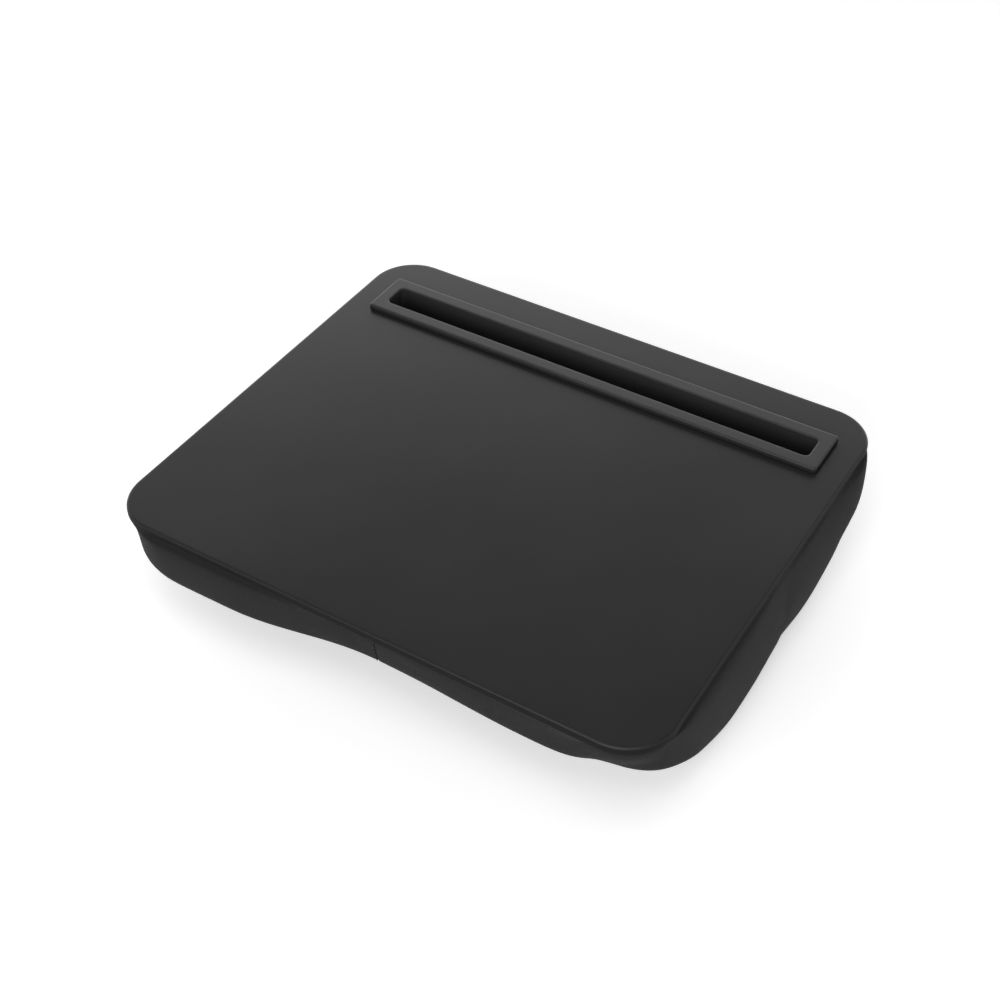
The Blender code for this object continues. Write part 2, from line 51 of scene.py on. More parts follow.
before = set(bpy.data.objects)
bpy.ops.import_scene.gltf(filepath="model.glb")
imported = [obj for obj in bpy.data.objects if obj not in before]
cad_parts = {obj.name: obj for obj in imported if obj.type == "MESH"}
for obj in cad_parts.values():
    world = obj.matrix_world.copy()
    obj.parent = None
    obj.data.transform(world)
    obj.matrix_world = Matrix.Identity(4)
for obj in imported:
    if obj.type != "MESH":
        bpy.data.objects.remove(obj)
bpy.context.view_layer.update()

MM = 0.001
BODY = "root"
BOARD_LOW, BOARD_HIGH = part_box("top_board")
TROUGH_LOW, TROUGH_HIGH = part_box("slot_trough")
PANEL_LOW, PANEL_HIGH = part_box("backing_panel")
BAFFLE_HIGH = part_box("centre_baffle")[1]
SLOT_Y = (TROUGH_LOW[1] + TROUGH_HIGH[1]) / 2
FLANGE_X, FLANGE_Y = (TROUGH_HIGH[0] - TROUGH_LOW[0]) / 2, (TROUGH_HIGH[1] - TROUGH_LOW[1]) / 2
STRIPS = [f"{kind}_strip_{number}" for kind in ("hook", "loop") for number in (1, 2, 3, 4)]


# Settings


def a_length(name, description, metres):
    return FloatProperty(name=name, description=description, default=metres, unit="LENGTH")


def an_angle(name, description, degrees):
    angle = math.radians(degrees)
    return FloatProperty(name=name, description=description, default=angle, subtype="ANGLE")


def a_number(name, description, value, **limits):
    return FloatProperty(name=name, description=description, default=value, **limits)


def a_colour(name, description, *shades):
    return FloatVectorProperty(
        name=name, description=description, default=shades, subtype="COLOR", size=3, min=0, max=1
    )


class BoardSizes(bpy.types.PropertyGroup):
    """Sizes of the board."""

    width: a_length("Width", "Board from left to right", BOARD_HIGH[0] - BOARD_LOW[0])
    depth: a_length("Depth", "Board from front to back", BOARD_HIGH[1] - BOARD_LOW[1])
    corner: a_length("Corner", "Radius of the board's corners", 25.5 * MM)
    plate: a_length("Plate", "Thickness of the board's plate", 2.2 * MM)
    rim_wall: a_length("Rim wall", "Thickness of the turned-down rim", 2.2 * MM)
    edge_round: a_length("Edge round", "Radius where the top turns into the rim", 1.3 * MM)


class TroughSizes(bpy.types.PropertyGroup):
    """Sizes of the trough and its flange."""

    slot_length: a_length("Slot length", "Slot from left to right", 264 * MM)
    slot_width: a_length("Slot width", "Slot from front to back", 15.5 * MM)
    slot_corner: a_length("Slot corner", "Radius of the slot's corners", 3 * MM)
    slot_depth: a_length("Slot depth", "Flange top to slot floor", 22 * MM)
    flange_corner: a_length("Flange corner", "Radius of the flange's outer corners", 1.8 * MM)
    flange_round: a_length("Flange round", "Radius of the flange's top edge", 0.9 * MM)
    mouth_round: a_length("Mouth round", "Radius of the slot's mouth", 0.7 * MM)
    wall: a_length("Wall", "Thickness of the trough's walls", 2 * MM)
    draft: an_angle("Draft", "How far the walls lean in", 0.5)


class CoverSizes(bpy.types.PropertyGroup):
    """Sizes of the knit cover, measured from the board's edge."""

    fabric: a_length("Fabric", "Thickness of the knit", 1 * MM)
    seam_x: a_length("Seam place", "Centre seam from the board's middle", 8 * MM)
    hem_inset: a_length("Hem inset", "Cover's top edge in from the board's edge", 0.4 * MM)
    hem_width: a_length("Hem width", "Width of the turned-over hem", 12 * MM)
    side_bulge: a_length("Side bulge", "How far the sides stand out", 3.7 * MM)
    end_bulge: a_length("End bulge", "How far front and back stand out", 5.6 * MM)
    front_draw: a_length("Front draw", "How far the right lobe's front is drawn in", 7.3 * MM)
    seam_tuck: a_length("Seam tuck", "How far the wall is drawn in at the seam", 9.9 * MM)
    wide_corner: a_length("Wide corner", "Corner radius at the widest line", 49 * MM)
    foot_corner: a_length("Foot corner", "Corner radius of the foot line", 66 * MM)
    side_widest: a_length("Side widest height", "Height of the widest line at the sides", 3.6 * MM)
    end_widest: a_length(
        "End widest height", "Height of the widest line at front and back", 33 * MM
    )
    side_foot: a_length("Side foot inset", "Foot line in from the board's sides", 46.4 * MM)
    end_foot: a_length("End foot inset", "Foot line in from front and back", 56.5 * MM)
    front_foot_draw: a_length("Front foot draw", "Foot line drawn in at the right front", 10.2 * MM)
    valley_rise: a_length("Valley rise", "Height of the dip between the lobes", 23.6 * MM)
    valley_reach: a_length("Valley reach", "How far the dip runs to each side", 97.5 * MM)
    crown: a_length("Crown", "Rise of each lobe's underside to its edges", 4 * MM)
    flat_cut: a_length("Flat cut", "How far the floor presses each lobe flat", 1 * MM)
    front_crease: a_length(
        "Front crease", "Depth of the crease in the right lobe's front", 2.6 * MM
    )
    front_crease_x: a_length("Front crease place", "The crease from the board's middle", 126.5 * MM)
    front_corner_lobe: a_length(
        "Front corner lobe", "How far the right front corner swells", 2.0 * MM
    )
    back_corner_lobe: a_length("Back corner lobe", "How far the right back corner swells", 3 * MM)
    back_corner_rise: a_length(
        "Back corner rise", "How much higher the right back corner swells", 8 * MM
    )
    back_corner_fullness: a_number(
        "Back corner fullness", "How much fuller that corner is under the board", 0.5,
        min=0.0, max=1.0,
    )
    waist: a_length("Waist", "Depth of the short crease at the middle of the right side", 2.2 * MM)
    side_crease: a_length(
        "Side crease", "Depth of the crease towards the back of the right side", 1.0 * MM
    )
    side_crease_y: a_length("Side crease place", "The crease from the board's middle", 70 * MM)
    swell: a_length("Swell", "Most that the filling may push the cloth out", 4 * MM)
    pressure: a_number("Pressure", "Push of the filling on the cloth", 4.0)
    frames: IntProperty(name="Frames", description="Length of the cloth simulation", default=20)
    upper_power: a_number(
        "Upper power", "Fullness of the wall above its widest line, fuller as it falls", 0.262
    )
    lower_power: a_number(
        "Lower power", "Fullness of the wall below its widest line, 2 for an ellipse", 1.48
    )
    end_start: a_number(
        "End start", "Share of the half depth where the sides start to turn into ends", 0.304
    )
    base_seam: a_number("Base seam", "Share of the lower wall above the base seam", 0.47)
    seam_bow: a_length("Seam bow", "How far the centre seam wanders from a straight line", 1 * MM)
    groove: a_length("Groove", "Depth of the sewn seams", 0.6 * MM)


class Finishes(bpy.types.PropertyGroup):
    """Colours of the finishes."""

    board: a_colour("Board", "Satin board plastic", 0.0200, 0.0200, 0.0206)
    trough: a_colour("Trough", "Grained trough plastic", 0.030, 0.030, 0.031)
    panel: a_colour("Panel", "Plain panel plastic", 0.120, 0.120, 0.125)
    tape: a_colour("Tape", "Hook and loop tape", 0.020, 0.020, 0.021)
    knit: a_colour("Knit", "Knit cover", 0.0190, 0.0190, 0.0200)
    beads: a_colour("Beads", "Foam beads", 0.85, 0.85, 0.83)
    lining: a_colour("Lining", "Cloth of the baffle between the lobes", 0.60, 0.60, 0.58)
    floor: a_colour("Floor", "Studio floor", 0.90, 0.90, 0.90)


class Studio(bpy.types.PropertyGroup):
    """Camera and light."""

    camera_place: FloatVectorProperty(
        name="Camera place", description="Where the camera stands", subtype="TRANSLATION", size=3,
        default=(0.3227, -0.5074, 0.5949),
    )
    azimuth: an_angle("Azimuth", "Turn of the view to the left", 32.66)
    elevation: an_angle("Elevation", "Tilt of the view downwards", 43.10)
    roll: an_angle("Roll", "Turn of the frame round the view", -1.07)
    lens: a_number("Lens", "Focal length in millimetres", 56.3)
    top_power: a_number("Top light", "Power in watts", 6.0)
    front_power: a_number("Front light", "Power in watts", 7.5)
    horizon: a_number("Horizon", "Strength of the sky at the horizon", 3.0)
    front_share: a_number("Front share", "Share of the horizon's glow in front", 0.22)
    zenith: a_number("Zenith", "Strength of the sky overhead", 0.10)
    table: a_number("Light table", "Glow of the floor itself", 0.45)


def sizes(name):
    """One group of the stand's settings: board, trough, cover, finishes or studio."""
    return getattr(bpy.context.scene.cushion_stand, name)


# Surfaces


def rounded_outline(half_x, half_y, corner, stations, split=0.0, centre_y=0.0):
    """A closed outline, anticlockwise from the front at x = split: straight sides, round corners.

    stations holds the shares from 0 to 1 along a right end, a left end, a side and a corner. A
    point on a straight is start + share * run. One on a corner is centre + corner * (cos a, sin a).
    """
    end_right, end_left, side, bend = stations
    straight_x, straight_y = half_x - corner, half_y - corner

    def run(start, stop, shares):
        start, stop = np.array(start), np.array(stop)
        return start + (stop - start) * shares[:, None]

    def turn(x, y, first):
        angle = first + np.pi / 2 * bend
        return np.stack([x + corner * np.cos(angle), y + corner * np.sin(angle)], 1)

    points = np.concatenate([
        run((split, -half_y), (straight_x, -half_y), end_right),
        turn(straight_x, -straight_y, -np.pi / 2),
        run((half_x, -straight_y), (half_x, straight_y), side),
        turn(straight_x, straight_y, 0),
        run((straight_x, half_y), (split, half_y), reversed_shares(end_right)),
        run((split, half_y), (-straight_x, half_y), end_left),
        turn(-straight_x, straight_y, np.pi / 2),
        run((-half_x, straight_y), (-half_x, -straight_y), side),
        turn(-straight_x, -straight_y, np.pi),
        run((-straight_x, -half_y), (split, -half_y), reversed_shares(end_left)),
    ])
    points[:, 1] += centre_y
    return points


def reversed_shares(shares):
    """The same stations met from the far end: each list leaves out its last point, 1."""
    return np.concatenate([[0.0], (1 - shares[1:])[::-1]])


def even(cells):
    return np.arange(cells) / cells


def at_height(points, height):
    """A ring of 3D points from an outline, at one height or at one height for each point."""
    heights = np.broadcast_to(np.asarray(height, float), points.shape[:1])
    return np.concatenate([points, heights[:, None]], 1)


def between(first, last, cells):
    """Rows on straight lines from one ring to another, both ends included."""
    share = np.linspace(0, 1, cells + 1)[:, None, None]
    return first + (last - first) * share


def quarter(cells):
    """The angles of a quarter turn, each with 1 less its sine and 1 less its cosine."""
    angles = np.linspace(0, np.pi / 2, cells + 1)
    return [(angle, 1 - math.sin(angle), 1 - math.cos(angle)) for angle in angles]


def grid_faces(rows, columns, first=0, closed=True, looped=False):
    """Quads of a grid: each joins (r, c), (r, c + 1), (r + 1, c + 1) and (r + 1, c)."""
    r = np.arange(rows if looped else rows - 1)[:, None]
    c = np.arange(columns if closed else columns - 1)[None, :]
    right, below = (c + 1) % columns, (r + 1) % rows
    corners = [r * columns + c, r * columns + right, below * columns + right, below * columns + c]
    whole = [np.broadcast_to(number, (r.size, c.size)) for number in corners]
    return first + np.stack(whole, -1).reshape(-1, 4)


def make_mesh(name, points, faces):
    """A mesh of quads from whole arrays."""
    mesh = bpy.data.meshes.new(name)
    points, faces = np.asarray(points, np.float32).reshape(-1, 3), np.asarray(faces, np.int32)
    mesh.vertices.add(len(points))
    mesh.vertices.foreach_set("co", points.ravel())
    mesh.loops.add(faces.size)
    mesh.loops.foreach_set("vertex_index", faces.ravel())
    mesh.polygons.add(len(faces))
    mesh.polygons.foreach_set("loop_start", np.arange(0, faces.size, 4, dtype=np.int32))
    mesh.update(calc_edges=True)
    return mesh


def add_mask(mesh, name, values):
    mask = mesh.attributes.new(name, "FLOAT", "POINT")
    mask.data.foreach_set("value", np.asarray(values, np.float32).ravel())


def face_corners(mesh):
    """The number of the point at each corner of each face."""
    numbers = np.zeros(len(mesh.loops), np.int32)
    mesh.loops.foreach_get("vertex_index", numbers)
    return numbers


def add_uv(mesh, uv):
    mesh.uv_layers.new(name="cloth").data.foreach_set("uv", uv.astype(np.float32).ravel())


def close_up(mesh, distance=0.002 * MM):
    """Merges points that fall together at seams and poles, and turns the faces outwards."""
    bm = bmesh.new()
    bm.from_mesh(mesh)
    bmesh.ops.remove_doubles(bm, verts=bm.verts, dist=distance)
    bmesh.ops.dissolve_degenerate(bm, edges=bm.edges, dist=distance)
    bmesh.ops.recalc_face_normals(bm, faces=bm.faces)
    bm.to_mesh(mesh)
    bm.free()


def add_object(name, data):
    made = bpy.data.objects.new(name, data)
    bpy.context.scene.collection.objects.link(made)
    return made


def place(mesh, material, replaced=(), sharp=None):
    """Puts a finished mesh on the root body, in place of the CAD nodes that it stands for.

    Edges that turn by more than sharp, in degrees, stay crisp.
    """
    mesh.shade_smooth()
    if sharp:
        mesh.set_sharp_from_angle(angle=math.radians(sharp))
    mesh.materials.append(material)
    piece = add_object(mesh.name, mesh)
    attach(piece, BODY)
    if replaced:
        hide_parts(*replaced)
    return piece


def thicken(piece, name, thickness, offset):
    """Gives a sheet its thickness: inwards at offset -1, to both sides at 0."""
    solid = piece.modifiers.new(name, "SOLIDIFY")
    solid.thickness = thickness
    solid.offset = offset


# Node groups and materials


def new_group(name, vector, numbers, results):
    """A shader node group: a vector input, number inputs with their defaults, and number outputs.

    With it come its inputs, the node that takes its results, and its wiring, or None for each of
    these where the group is there already.
    """
    group = bpy.data.node_groups.get(name)
    if group:
        return group, None, None, None
    group = bpy.data.node_groups.new(name, "ShaderNodeTree")
    group.interface.new_socket(vector, in_out="INPUT", socket_type="NodeSocketVector")
    for key, default in numbers.items():
        socket = group.interface.new_socket(key, in_out="INPUT", socket_type="NodeSocketFloat")
        socket.default_value = default
    for key in results:
        group.interface.new_socket(key, in_out="OUTPUT", socket_type="NodeSocketFloat")
    wire = Wiring(group)
    return group, wire.node("NodeGroupInput").outputs, wire.node("NodeGroupOutput"), wire


class Wiring:
    """Adds nodes to a tree and joins them."""

    def __init__(self, tree):
        self.tree = tree

    def node(self, kind, values=None, **settings):
        made = self.tree.nodes.new(kind)
        for name, value in settings.items():
            setattr(made, name, value)
        self.fill(made, values or {})
        return made

    def fill(self, node, values):
        """Sets inputs of a node by name, each to a plain value or to another node's output."""
        for name, value in values.items():
            self.feed(node.inputs[name], value)

    def feed(self, socket, value):
        if isinstance(value, bpy.types.NodeSocket):
            self.tree.links.new(value, socket)
        else:
            socket.default_value = value

    def math(self, operation, *values):
        made = self.node("ShaderNodeMath", operation=operation)
        for socket, value in zip(made.inputs, values):
            self.feed(socket, value)
        return made.outputs[0]

    def noise(self, vector, scale, detail, roughness):
        values = {"Vector": vector, "Scale": scale, "Detail": detail, "Roughness": roughness}
        return self.node("ShaderNodeTexNoise", values).outputs["Fac"]

    def cells(self, vector, scale):
        """Distance from the middle of the nearest cell of a Voronoi pattern."""
        values = {"Vector": vector, "Scale": scale}
        return self.node("ShaderNodeTexVoronoi", values).outputs["Distance"]

    def remap(self, value, low, high, to_low, to_high):
        limits = {"From Min": low, "From Max": high, "To Min": to_low, "To Max": to_high}
        return self.node("ShaderNodeMapRange", {"Value": value, **limits}).outputs["Result"]

    def mask(self, name):
        """The value of a mesh's own attribute, 0 where the mesh has none of that name."""
        settings = {"attribute_name": name, "attribute_type": "GEOMETRY"}
        return self.node("ShaderNodeAttribute", **settings).outputs["Fac"]

    def coordinates(self, kind):
        return self.node("ShaderNodeTexCoord").outputs[kind]

    def group(self, tree, **values):
        return self.node("ShaderNodeGroup", values, node_tree=tree).outputs

    def tint(self, colour, factor):
        """The colour times a factor that changes over the surface."""
        values = {"Fac": 1.0, "Color1": (*colour, 1.0), "Color2": factor}
        return self.node("ShaderNodeMixRGB", values, blend_type="MULTIPLY").outputs["Color"]

    def bump(self, height, strength, distance):
        values = {"Height": height, "Strength": strength, "Distance": distance}
        return self.node("ShaderNodeBump", values).outputs["Normal"]


def grain_group():
    """Moulded grain: fine noise on top of small cells, and a speckle that follows the noise."""
    group, given, result, wire = new_group(
        "moulded grain", "Vector", {"Scale": 1500.0}, ["Height", "Speckle"]
    )
    if wire:
        vector, scale = given["Vector"], given["Scale"]
        fine = wire.noise(vector, scale, detail=3.0, roughness=0.6)
        cells = wire.cells(vector, wire.math("MULTIPLY", scale, 0.8))
        fine_height = wire.math("MULTIPLY", fine, 0.6)
        wire.fill(result, {
            "Height": wire.math("ADD", fine_height, wire.math("MULTIPLY", cells, 0.5)),
            "Speckle": wire.remap(fine, 0.35, 0.65, 0.0, 1.0),
        })
    return group


def cloud_group():
    """Broad, slow variation over a piece, centred on 1, for colour and gloss."""
    defaults = {"Scale": 14.0, "Amount": 0.1}
    group, given, result, wire = new_group("slow variation", "Vector", defaults, ["Factor"])
    if wire:
        cloud = wire.noise(given["Vector"], given["Scale"], detail=3.0, roughness=0.55)
        swing = wire.math("MULTIPLY", wire.math("SUBTRACT", cloud, 0.5), given["Amount"])
        wire.fill(result, {"Factor": wire.math("MULTIPLY_ADD", swing, 2.0, 1.0)})
    return group


def knit_group():
    """Fine knit: columns of loops, each leaning to the column's middle, with stray fibres on them.

    Across a column the height is |sin|, and along it the rows are a wave whose phase shifts with
    the distance from the column's middle, which gives the V of a knit stitch.
    """
    defaults = {"Column": 0.9 * MM, "Row": 0.7 * MM}
    group, given, result, wire = new_group("fine knit", "UV", defaults, ["Height", "Fibre"])
    if wire:
        place_on = wire.node("ShaderNodeSeparateXYZ", {"Vector": given["UV"]}).outputs
        across = wire.math("DIVIDE", place_on["X"], given["Column"])
        along = wire.math("DIVIDE", place_on["Y"], given["Row"])
        column = wire.math("ABSOLUTE", wire.math("SINE", wire.math("MULTIPLY", across, math.pi)))
        phase = wire.math("ADD", along, wire.math("MULTIPLY", column, 0.5))
        wave = wire.math("SINE", wire.math("MULTIPLY", phase, 2 * math.pi))
        loops = wire.math("MULTIPLY", column, wire.math("MULTIPLY_ADD", wave, 0.35, 0.65))
        fuzz = wire.noise(given["UV"], 2600.0, detail=4.0, roughness=0.7)
        wire.fill(result, {
            "Height": wire.math("MULTIPLY_ADD", fuzz, 0.6, loops),
            "Fibre": wire.remap(fuzz, 0.45, 0.75, 0.0, 1.0),
        })
    return group


def new_material(name):
    material = bpy.data.materials.new(name)
    material.use_nodes = True
    return material, Wiring(material.node_tree), material.node_tree.nodes["Principled BSDF"]


def plastic(name, colour, gloss, grain_scale, grain_depth, wear_and_highlight_gain=0.0, matt_shaded_rim=False):
    """Moulded plastic: grain in the bump, slow variation in colour and gloss, paler edges that are
    partly wear and partly a painted highlight.

    Where the rim is marked it has a dull finish, rougher and less shiny, and its colour is darker
    as painted shade.
    The shine has a plain value of its own where it is the same all over.
    """
    material, wire, shader = new_material(name)
    place_on = wire.coordinates("Object")
    grain = wire.group(grain_group(), Vector=place_on, Scale=grain_scale)
    cloud = wire.group(cloud_group(), Vector=place_on, Scale=14.0, Amount=0.10)["Factor"]
    # Pales the colour on the edges: partly wear, partly a painted highlight.
    edge = wire.mask("wear_and_highlight_mask")
    factor = wire.math("ADD", cloud, wire.math("MULTIPLY", edge, wear_and_highlight_gain))
    factor = wire.math("MULTIPLY_ADD", grain["Speckle"], 0.10, wire.math("SUBTRACT", factor, 0.05))
    rough = wire.math("MULTIPLY", cloud, gloss)
    rough = wire.math("SUBTRACT", rough, wire.math("MULTIPLY", edge, 0.05))
    shine = 0.36
    wire.fill(shader, {"Specular IOR Level": shine})
    if matt_shaded_rim:
        # Darkens the rim's colour as painted shade, and makes it rougher and less shiny.
        matt_and_shade = wire.mask("matt_and_shade_mask")
        factor = wire.math("MULTIPLY", factor, wire.math("MULTIPLY_ADD", matt_and_shade, -0.35, 1.0))
        rough = wire.math("MULTIPLY_ADD", matt_and_shade, 0.25, rough)
        wire.fill(shader, {"Specular IOR Level": wire.math("MULTIPLY_ADD", matt_and_shade, -0.28, shine)})
    wire.fill(shader, {
        "Base Color": wire.tint(colour, factor),
        "Roughness": rough,
        "Normal": wire.bump(grain["Height"], 0.5, grain_depth),
    })
    return material


def knit(name, colour):
    """Brushed knit: loops and fibres in the bump, a soft sheen, and painted shade that darkens the
    sewn grooves.
    """
    material, wire, shader = new_material(name)
    loops = wire.group(knit_group(), UV=wire.coordinates("UV"))
    cloud = wire.group(cloud_group(), Vector=wire.coordinates("Object"), Scale=22.0, Amount=0.16)
    factor = wire.math("MULTIPLY_ADD", loops["Fibre"], 0.5, cloud["Factor"])
    # Painted shade: the colour is darker along the sewn grooves.
    groove = wire.math("MULTIPLY_ADD", wire.mask("seam_shade_mask"), -0.6, 1.0)
    wire.fill(shader, {
        "Base Color": wire.tint(colour, wire.math("MULTIPLY", factor, groove)),
        "Roughness": 0.9,
        "Sheen Weight": 0.10,
        "Sheen Roughness": 0.3,
        "Sheen Tint": (0.75, 0.75, 0.78, 1.0),
        "Specular IOR Level": 0.3,
        "Normal": wire.bump(loops["Height"], 0.6, 0.25 * MM),
    })
    return material


def tape(name, colour, pile):
    """Hook or loop tape, or thread: a tangle less the cells of its tufts, in the bump, and in the
    colour as painted shade, darker between the tufts and paler on them.
    """
    material, wire, shader = new_material(name)
    place_on = wire.coordinates("Object")
    tangle = wire.noise(place_on, pile * 2, detail=4.0, roughness=0.7)
    height = wire.math("SUBTRACT", tangle, wire.cells(place_on, pile))
    wire.fill(shader, {
        "Base Color": wire.tint(colour, wire.remap(height, -0.4, 0.6, 0.6, 1.6)),
        "Roughness": 0.9,
        "Sheen Weight": 0.2,
        "Normal": wire.bump(height, 0.8, 0.5 * MM),
    })
    return material


def foam_beads(name, colour):
    """Foam beads pressed together: round cells, with painted shade that darkens the gaps between
    them.
    """
    material, wire, shader = new_material(name)
    height = wire.math("SUBTRACT", 1.0, wire.cells(wire.coordinates("Object"), 300.0))
    wire.fill(shader, {
        "Base Color": wire.tint(colour, wire.remap(height, 0.3, 0.8, 0.55, 1.0)),
        "Roughness": 0.7,
        "Normal": wire.bump(height, 0.9, 1 * MM),
    })
    return material


# Board and trough

# Cells along a right end, a left end, a side and a corner of each moulding
RIGID_STATIONS = (even(24), even(24), even(24), even(28))


def rigid_ring(half_x, half_y, corner, height, centre_y=0.0):
    outline = rounded_outline(half_x, half_y, corner, RIGID_STATIONS, centre_y=centre_y)
    return at_height(outline, height)


def unmarked_rings(rings, *matt_and_shade):
    """Rings of a moulding with no worn edge and no painted highlight, each with its share of the
    rim's dull finish and painted shade, if given.
    """
    return [(ring, 0, *matt_and_shade) for ring in rings]


def board_rows(board, trough):
    """The board as one closed ring of rows round the slot's cut-out.

    From the cut-out's lower edge the rows climb to the seat of the flange, cross the flat top on
    straight lines to the outer edge, follow a quarter circle into the rim, go down and round its
    foot, and come back under the plate. Each row comes with its share of worn edge and painted
    highlight, and its share of the rim's dull finish and painted shade.
    """
    half_x, half_y = board.width / 2, board.depth / 2
    top, low = BOARD_HIGH[2], BOARD_LOW[2]
    under, seat_z = top - board.plate, top - 0.6 * MM
    gap, crisp, foot, margin = 0.3 * MM, 0.15 * MM, 0.4 * MM, 1.2 * MM
    edge, inside = board.edge_round, board.rim_wall

    def outer(inset, height):
        return rigid_ring(half_x - inset, half_y - inset, board.corner - inset, height)

    def seat(outset, height):
        corner = trough.flange_corner + outset
        return rigid_ring(FLANGE_X + outset, FLANGE_Y + outset, corner, height, SLOT_Y)

    def cutout(height, outset=trough.wall + 0.5 * MM):
        slot = trough.slot_length / 2 + outset, trough.slot_width / 2 + outset
        return rigid_ring(*slot, trough.slot_corner + outset, height, SLOT_Y)

    rows = unmarked_rings([cutout(under), cutout(seat_z), seat(gap, seat_z), seat(gap, top - crisp)], 0)
    rows += [(seat(gap + crisp, top), 0.2, 0)]
    rows += unmarked_rings([seat(gap + 3 * crisp, top)], 0)
    rows += unmarked_rings(between(rows[-1][0], outer(edge + margin, top), cells=16)[1:], 0)
    # Round the top edge the worn edge and painted highlight peak halfway; the rim's painted shade
    # and dull finish grow towards its foot.
    for angle, inward, down in quarter(cells=10):
        ring = outer(edge * inward, top - edge * down)
        rows += [(ring, math.sin(2 * angle) ** 2, math.sin(angle) ** 4)]
    for _, up, inward in quarter(cells=4):
        rows += unmarked_rings([outer(foot * inward, low + foot * up)], 1)
    rows += unmarked_rings([outer(inside - foot, low), outer(inside, low + foot)], 1)
    rows += unmarked_rings([outer(inside, under - foot), outer(inside + foot, under)], 1)
    rows += unmarked_rings(between(rows[-1][0], rows[0][0], cells=6)[1:-1], 1)
    return [np.array(part) for part in zip(*rows)]


def trough_rows(trough):
    """The trough as rows from the underside's middle line round the flange to the slot floor's.

    Inside and out the walls lean in by the draft. Each row comes with its share of worn edge and
    painted highlight.
    """
    length, width, corner = trough.slot_length / 2, trough.slot_width / 2, trough.slot_corner
    top, low = TROUGH_HIGH[2], TROUGH_LOW[2]
    floor, flange_low = top - trough.slot_depth, BOARD_HIGH[2] - 0.3 * MM
    wall, brow, mouth = trough.wall, trough.flange_round, trough.mouth_round
    skin, crisp, foot, fillet = 1.8 * MM, 0.1 * MM, 1 * MM, 1.2 * MM
    smallest_corner = 0.2 * MM
    lean = math.tan(trough.draft)
    drawn_out, drawn_in = (top - low) * lean, (trough.slot_depth - fillet) * lean

    def slot(outset, height):
        radius = max(corner + outset, smallest_corner)
        return rigid_ring(length + outset, width + outset, radius, height, SLOT_Y)

    def flange(inset, height):
        radius = max(trough.flange_corner - inset, smallest_corner)
        return rigid_ring(FLANGE_X - inset, FLANGE_Y - inset, radius, height, SLOT_Y)

    def middle_line(row):
        line = row.copy()
        line[:, 0] = np.clip(row[:, 0], -(length - width), length - width)
        line[:, 1] = SLOT_Y
        return line

    bottom = slot(wall - drawn_out - foot, low)
    rows = unmarked_rings([middle_line(bottom), bottom, slot(wall - drawn_out, low + foot)])
    rows += unmarked_rings([slot(wall, top - skin), flange(skin, top - skin), flange(skin, flange_low)])
    rows += unmarked_rings([flange(crisp, flange_low), flange(0, flange_low + crisp)])
    # Worn edge and painted highlight on the flange's round and on the slot's mouth.
    for angle, down, inward in quarter(cells=8):
        rows += [(flange(brow * inward, top - brow * down), math.sin(2 * angle) ** 2)]
    rows += unmarked_rings(between(rows[-1][0], slot(mouth, top), cells=8)[1:])
    for angle, outward, down in quarter(cells=6)[1:]:
        rows += [(slot(mouth * outward, top - mouth * down), 0.8 * math.sin(2 * angle) ** 2)]
    rows += unmarked_rings(between(rows[-1][0], slot(-drawn_in, floor + fillet), cells=10)[1:])
    for _, up, inward in quarter(cells=5)[1:]:
        rows += unmarked_rings([slot(-drawn_in - fillet * inward, floor + fillet * up)])
    rows += unmarked_rings([middle_line(rows[-1][0])])
    return [np.array(part) for part in zip(*rows)]


# Knit cover

# The hem lies HEM_DROP under the rim and turns down round a FOLD. A lump moves the foot line
# FOOT_SWELL times as far as the widest line, and WALL_SPREAD crowds the rows below the fold.
HEM_DROP, FOLD = 0.6 * MM, 1 * MM
FOOT_SWELL, WALL_SPREAD = 1.5, 1.7
CLOTH = {
    "quality": 5, "mass": 0.25, "tension_stiffness": 10, "compression_stiffness": 10,
    "shear_stiffness": 4, "bending_stiffness": 0.4, "use_pressure": True,
    "vertex_group_mass": "held",
}


def blend_step(low, high, value):
    """0 up to low, 1 from high on, and 3t^2 - 2t^3 between them."""
    share = np.clip((value - low) / (high - low), 0, 1)
    return share * share * (3 - 2 * share)


def travelled(points):
    """Length along a path, or along each column of a grid, from its first point."""
    steps = np.linalg.norm(np.diff(points, axis=0), axis=-1)
    return np.concatenate([np.zeros_like(steps[:1]), np.cumsum(steps, axis=0)])


def underside(cover, x, y):
    """Height of the cushion's underside: a dip along the seam and a shallow crown under each lobe.

    The dip falls as (1 - distance / reach)^2. The crown is half the sum of squares of the distances
    from the lobe's middle, each over the lobe's half size. What would lie under the floor is flat.
    """
    board = sizes("board")
    distance = np.abs(x - cover.seam_x)
    dip = cover.valley_rise * np.clip(1 - distance / cover.valley_reach, 0, 1) ** 2
    half = (board.width / 2 - cover.side_foot) / 2
    across = (distance - half) / half
    along = y / (board.depth / 2 - cover.end_foot)
    return np.maximum(dip + cover.crown * (0.5 * across**2 + 0.5 * along**2) - cover.flat_cut, 0)


def respaced(outline, pattern):
    """The points of an outline moved along it to share out each lobe as those of a pattern do."""
    half = len(outline) // 2
    moved = []
    for first in (0, half):
        lobe = np.arange(first, first + half + 1) % len(outline)
        runs = travelled(outline[lobe]), travelled(pattern[lobe])
        along, wanted = (run / run[-1] for run in runs)
        places = [np.interp(wanted, along, outline[lobe, axis]) for axis in range(2)]
        moved.append(np.stack(places, -1)[:-1])
    return np.concatenate(moved)


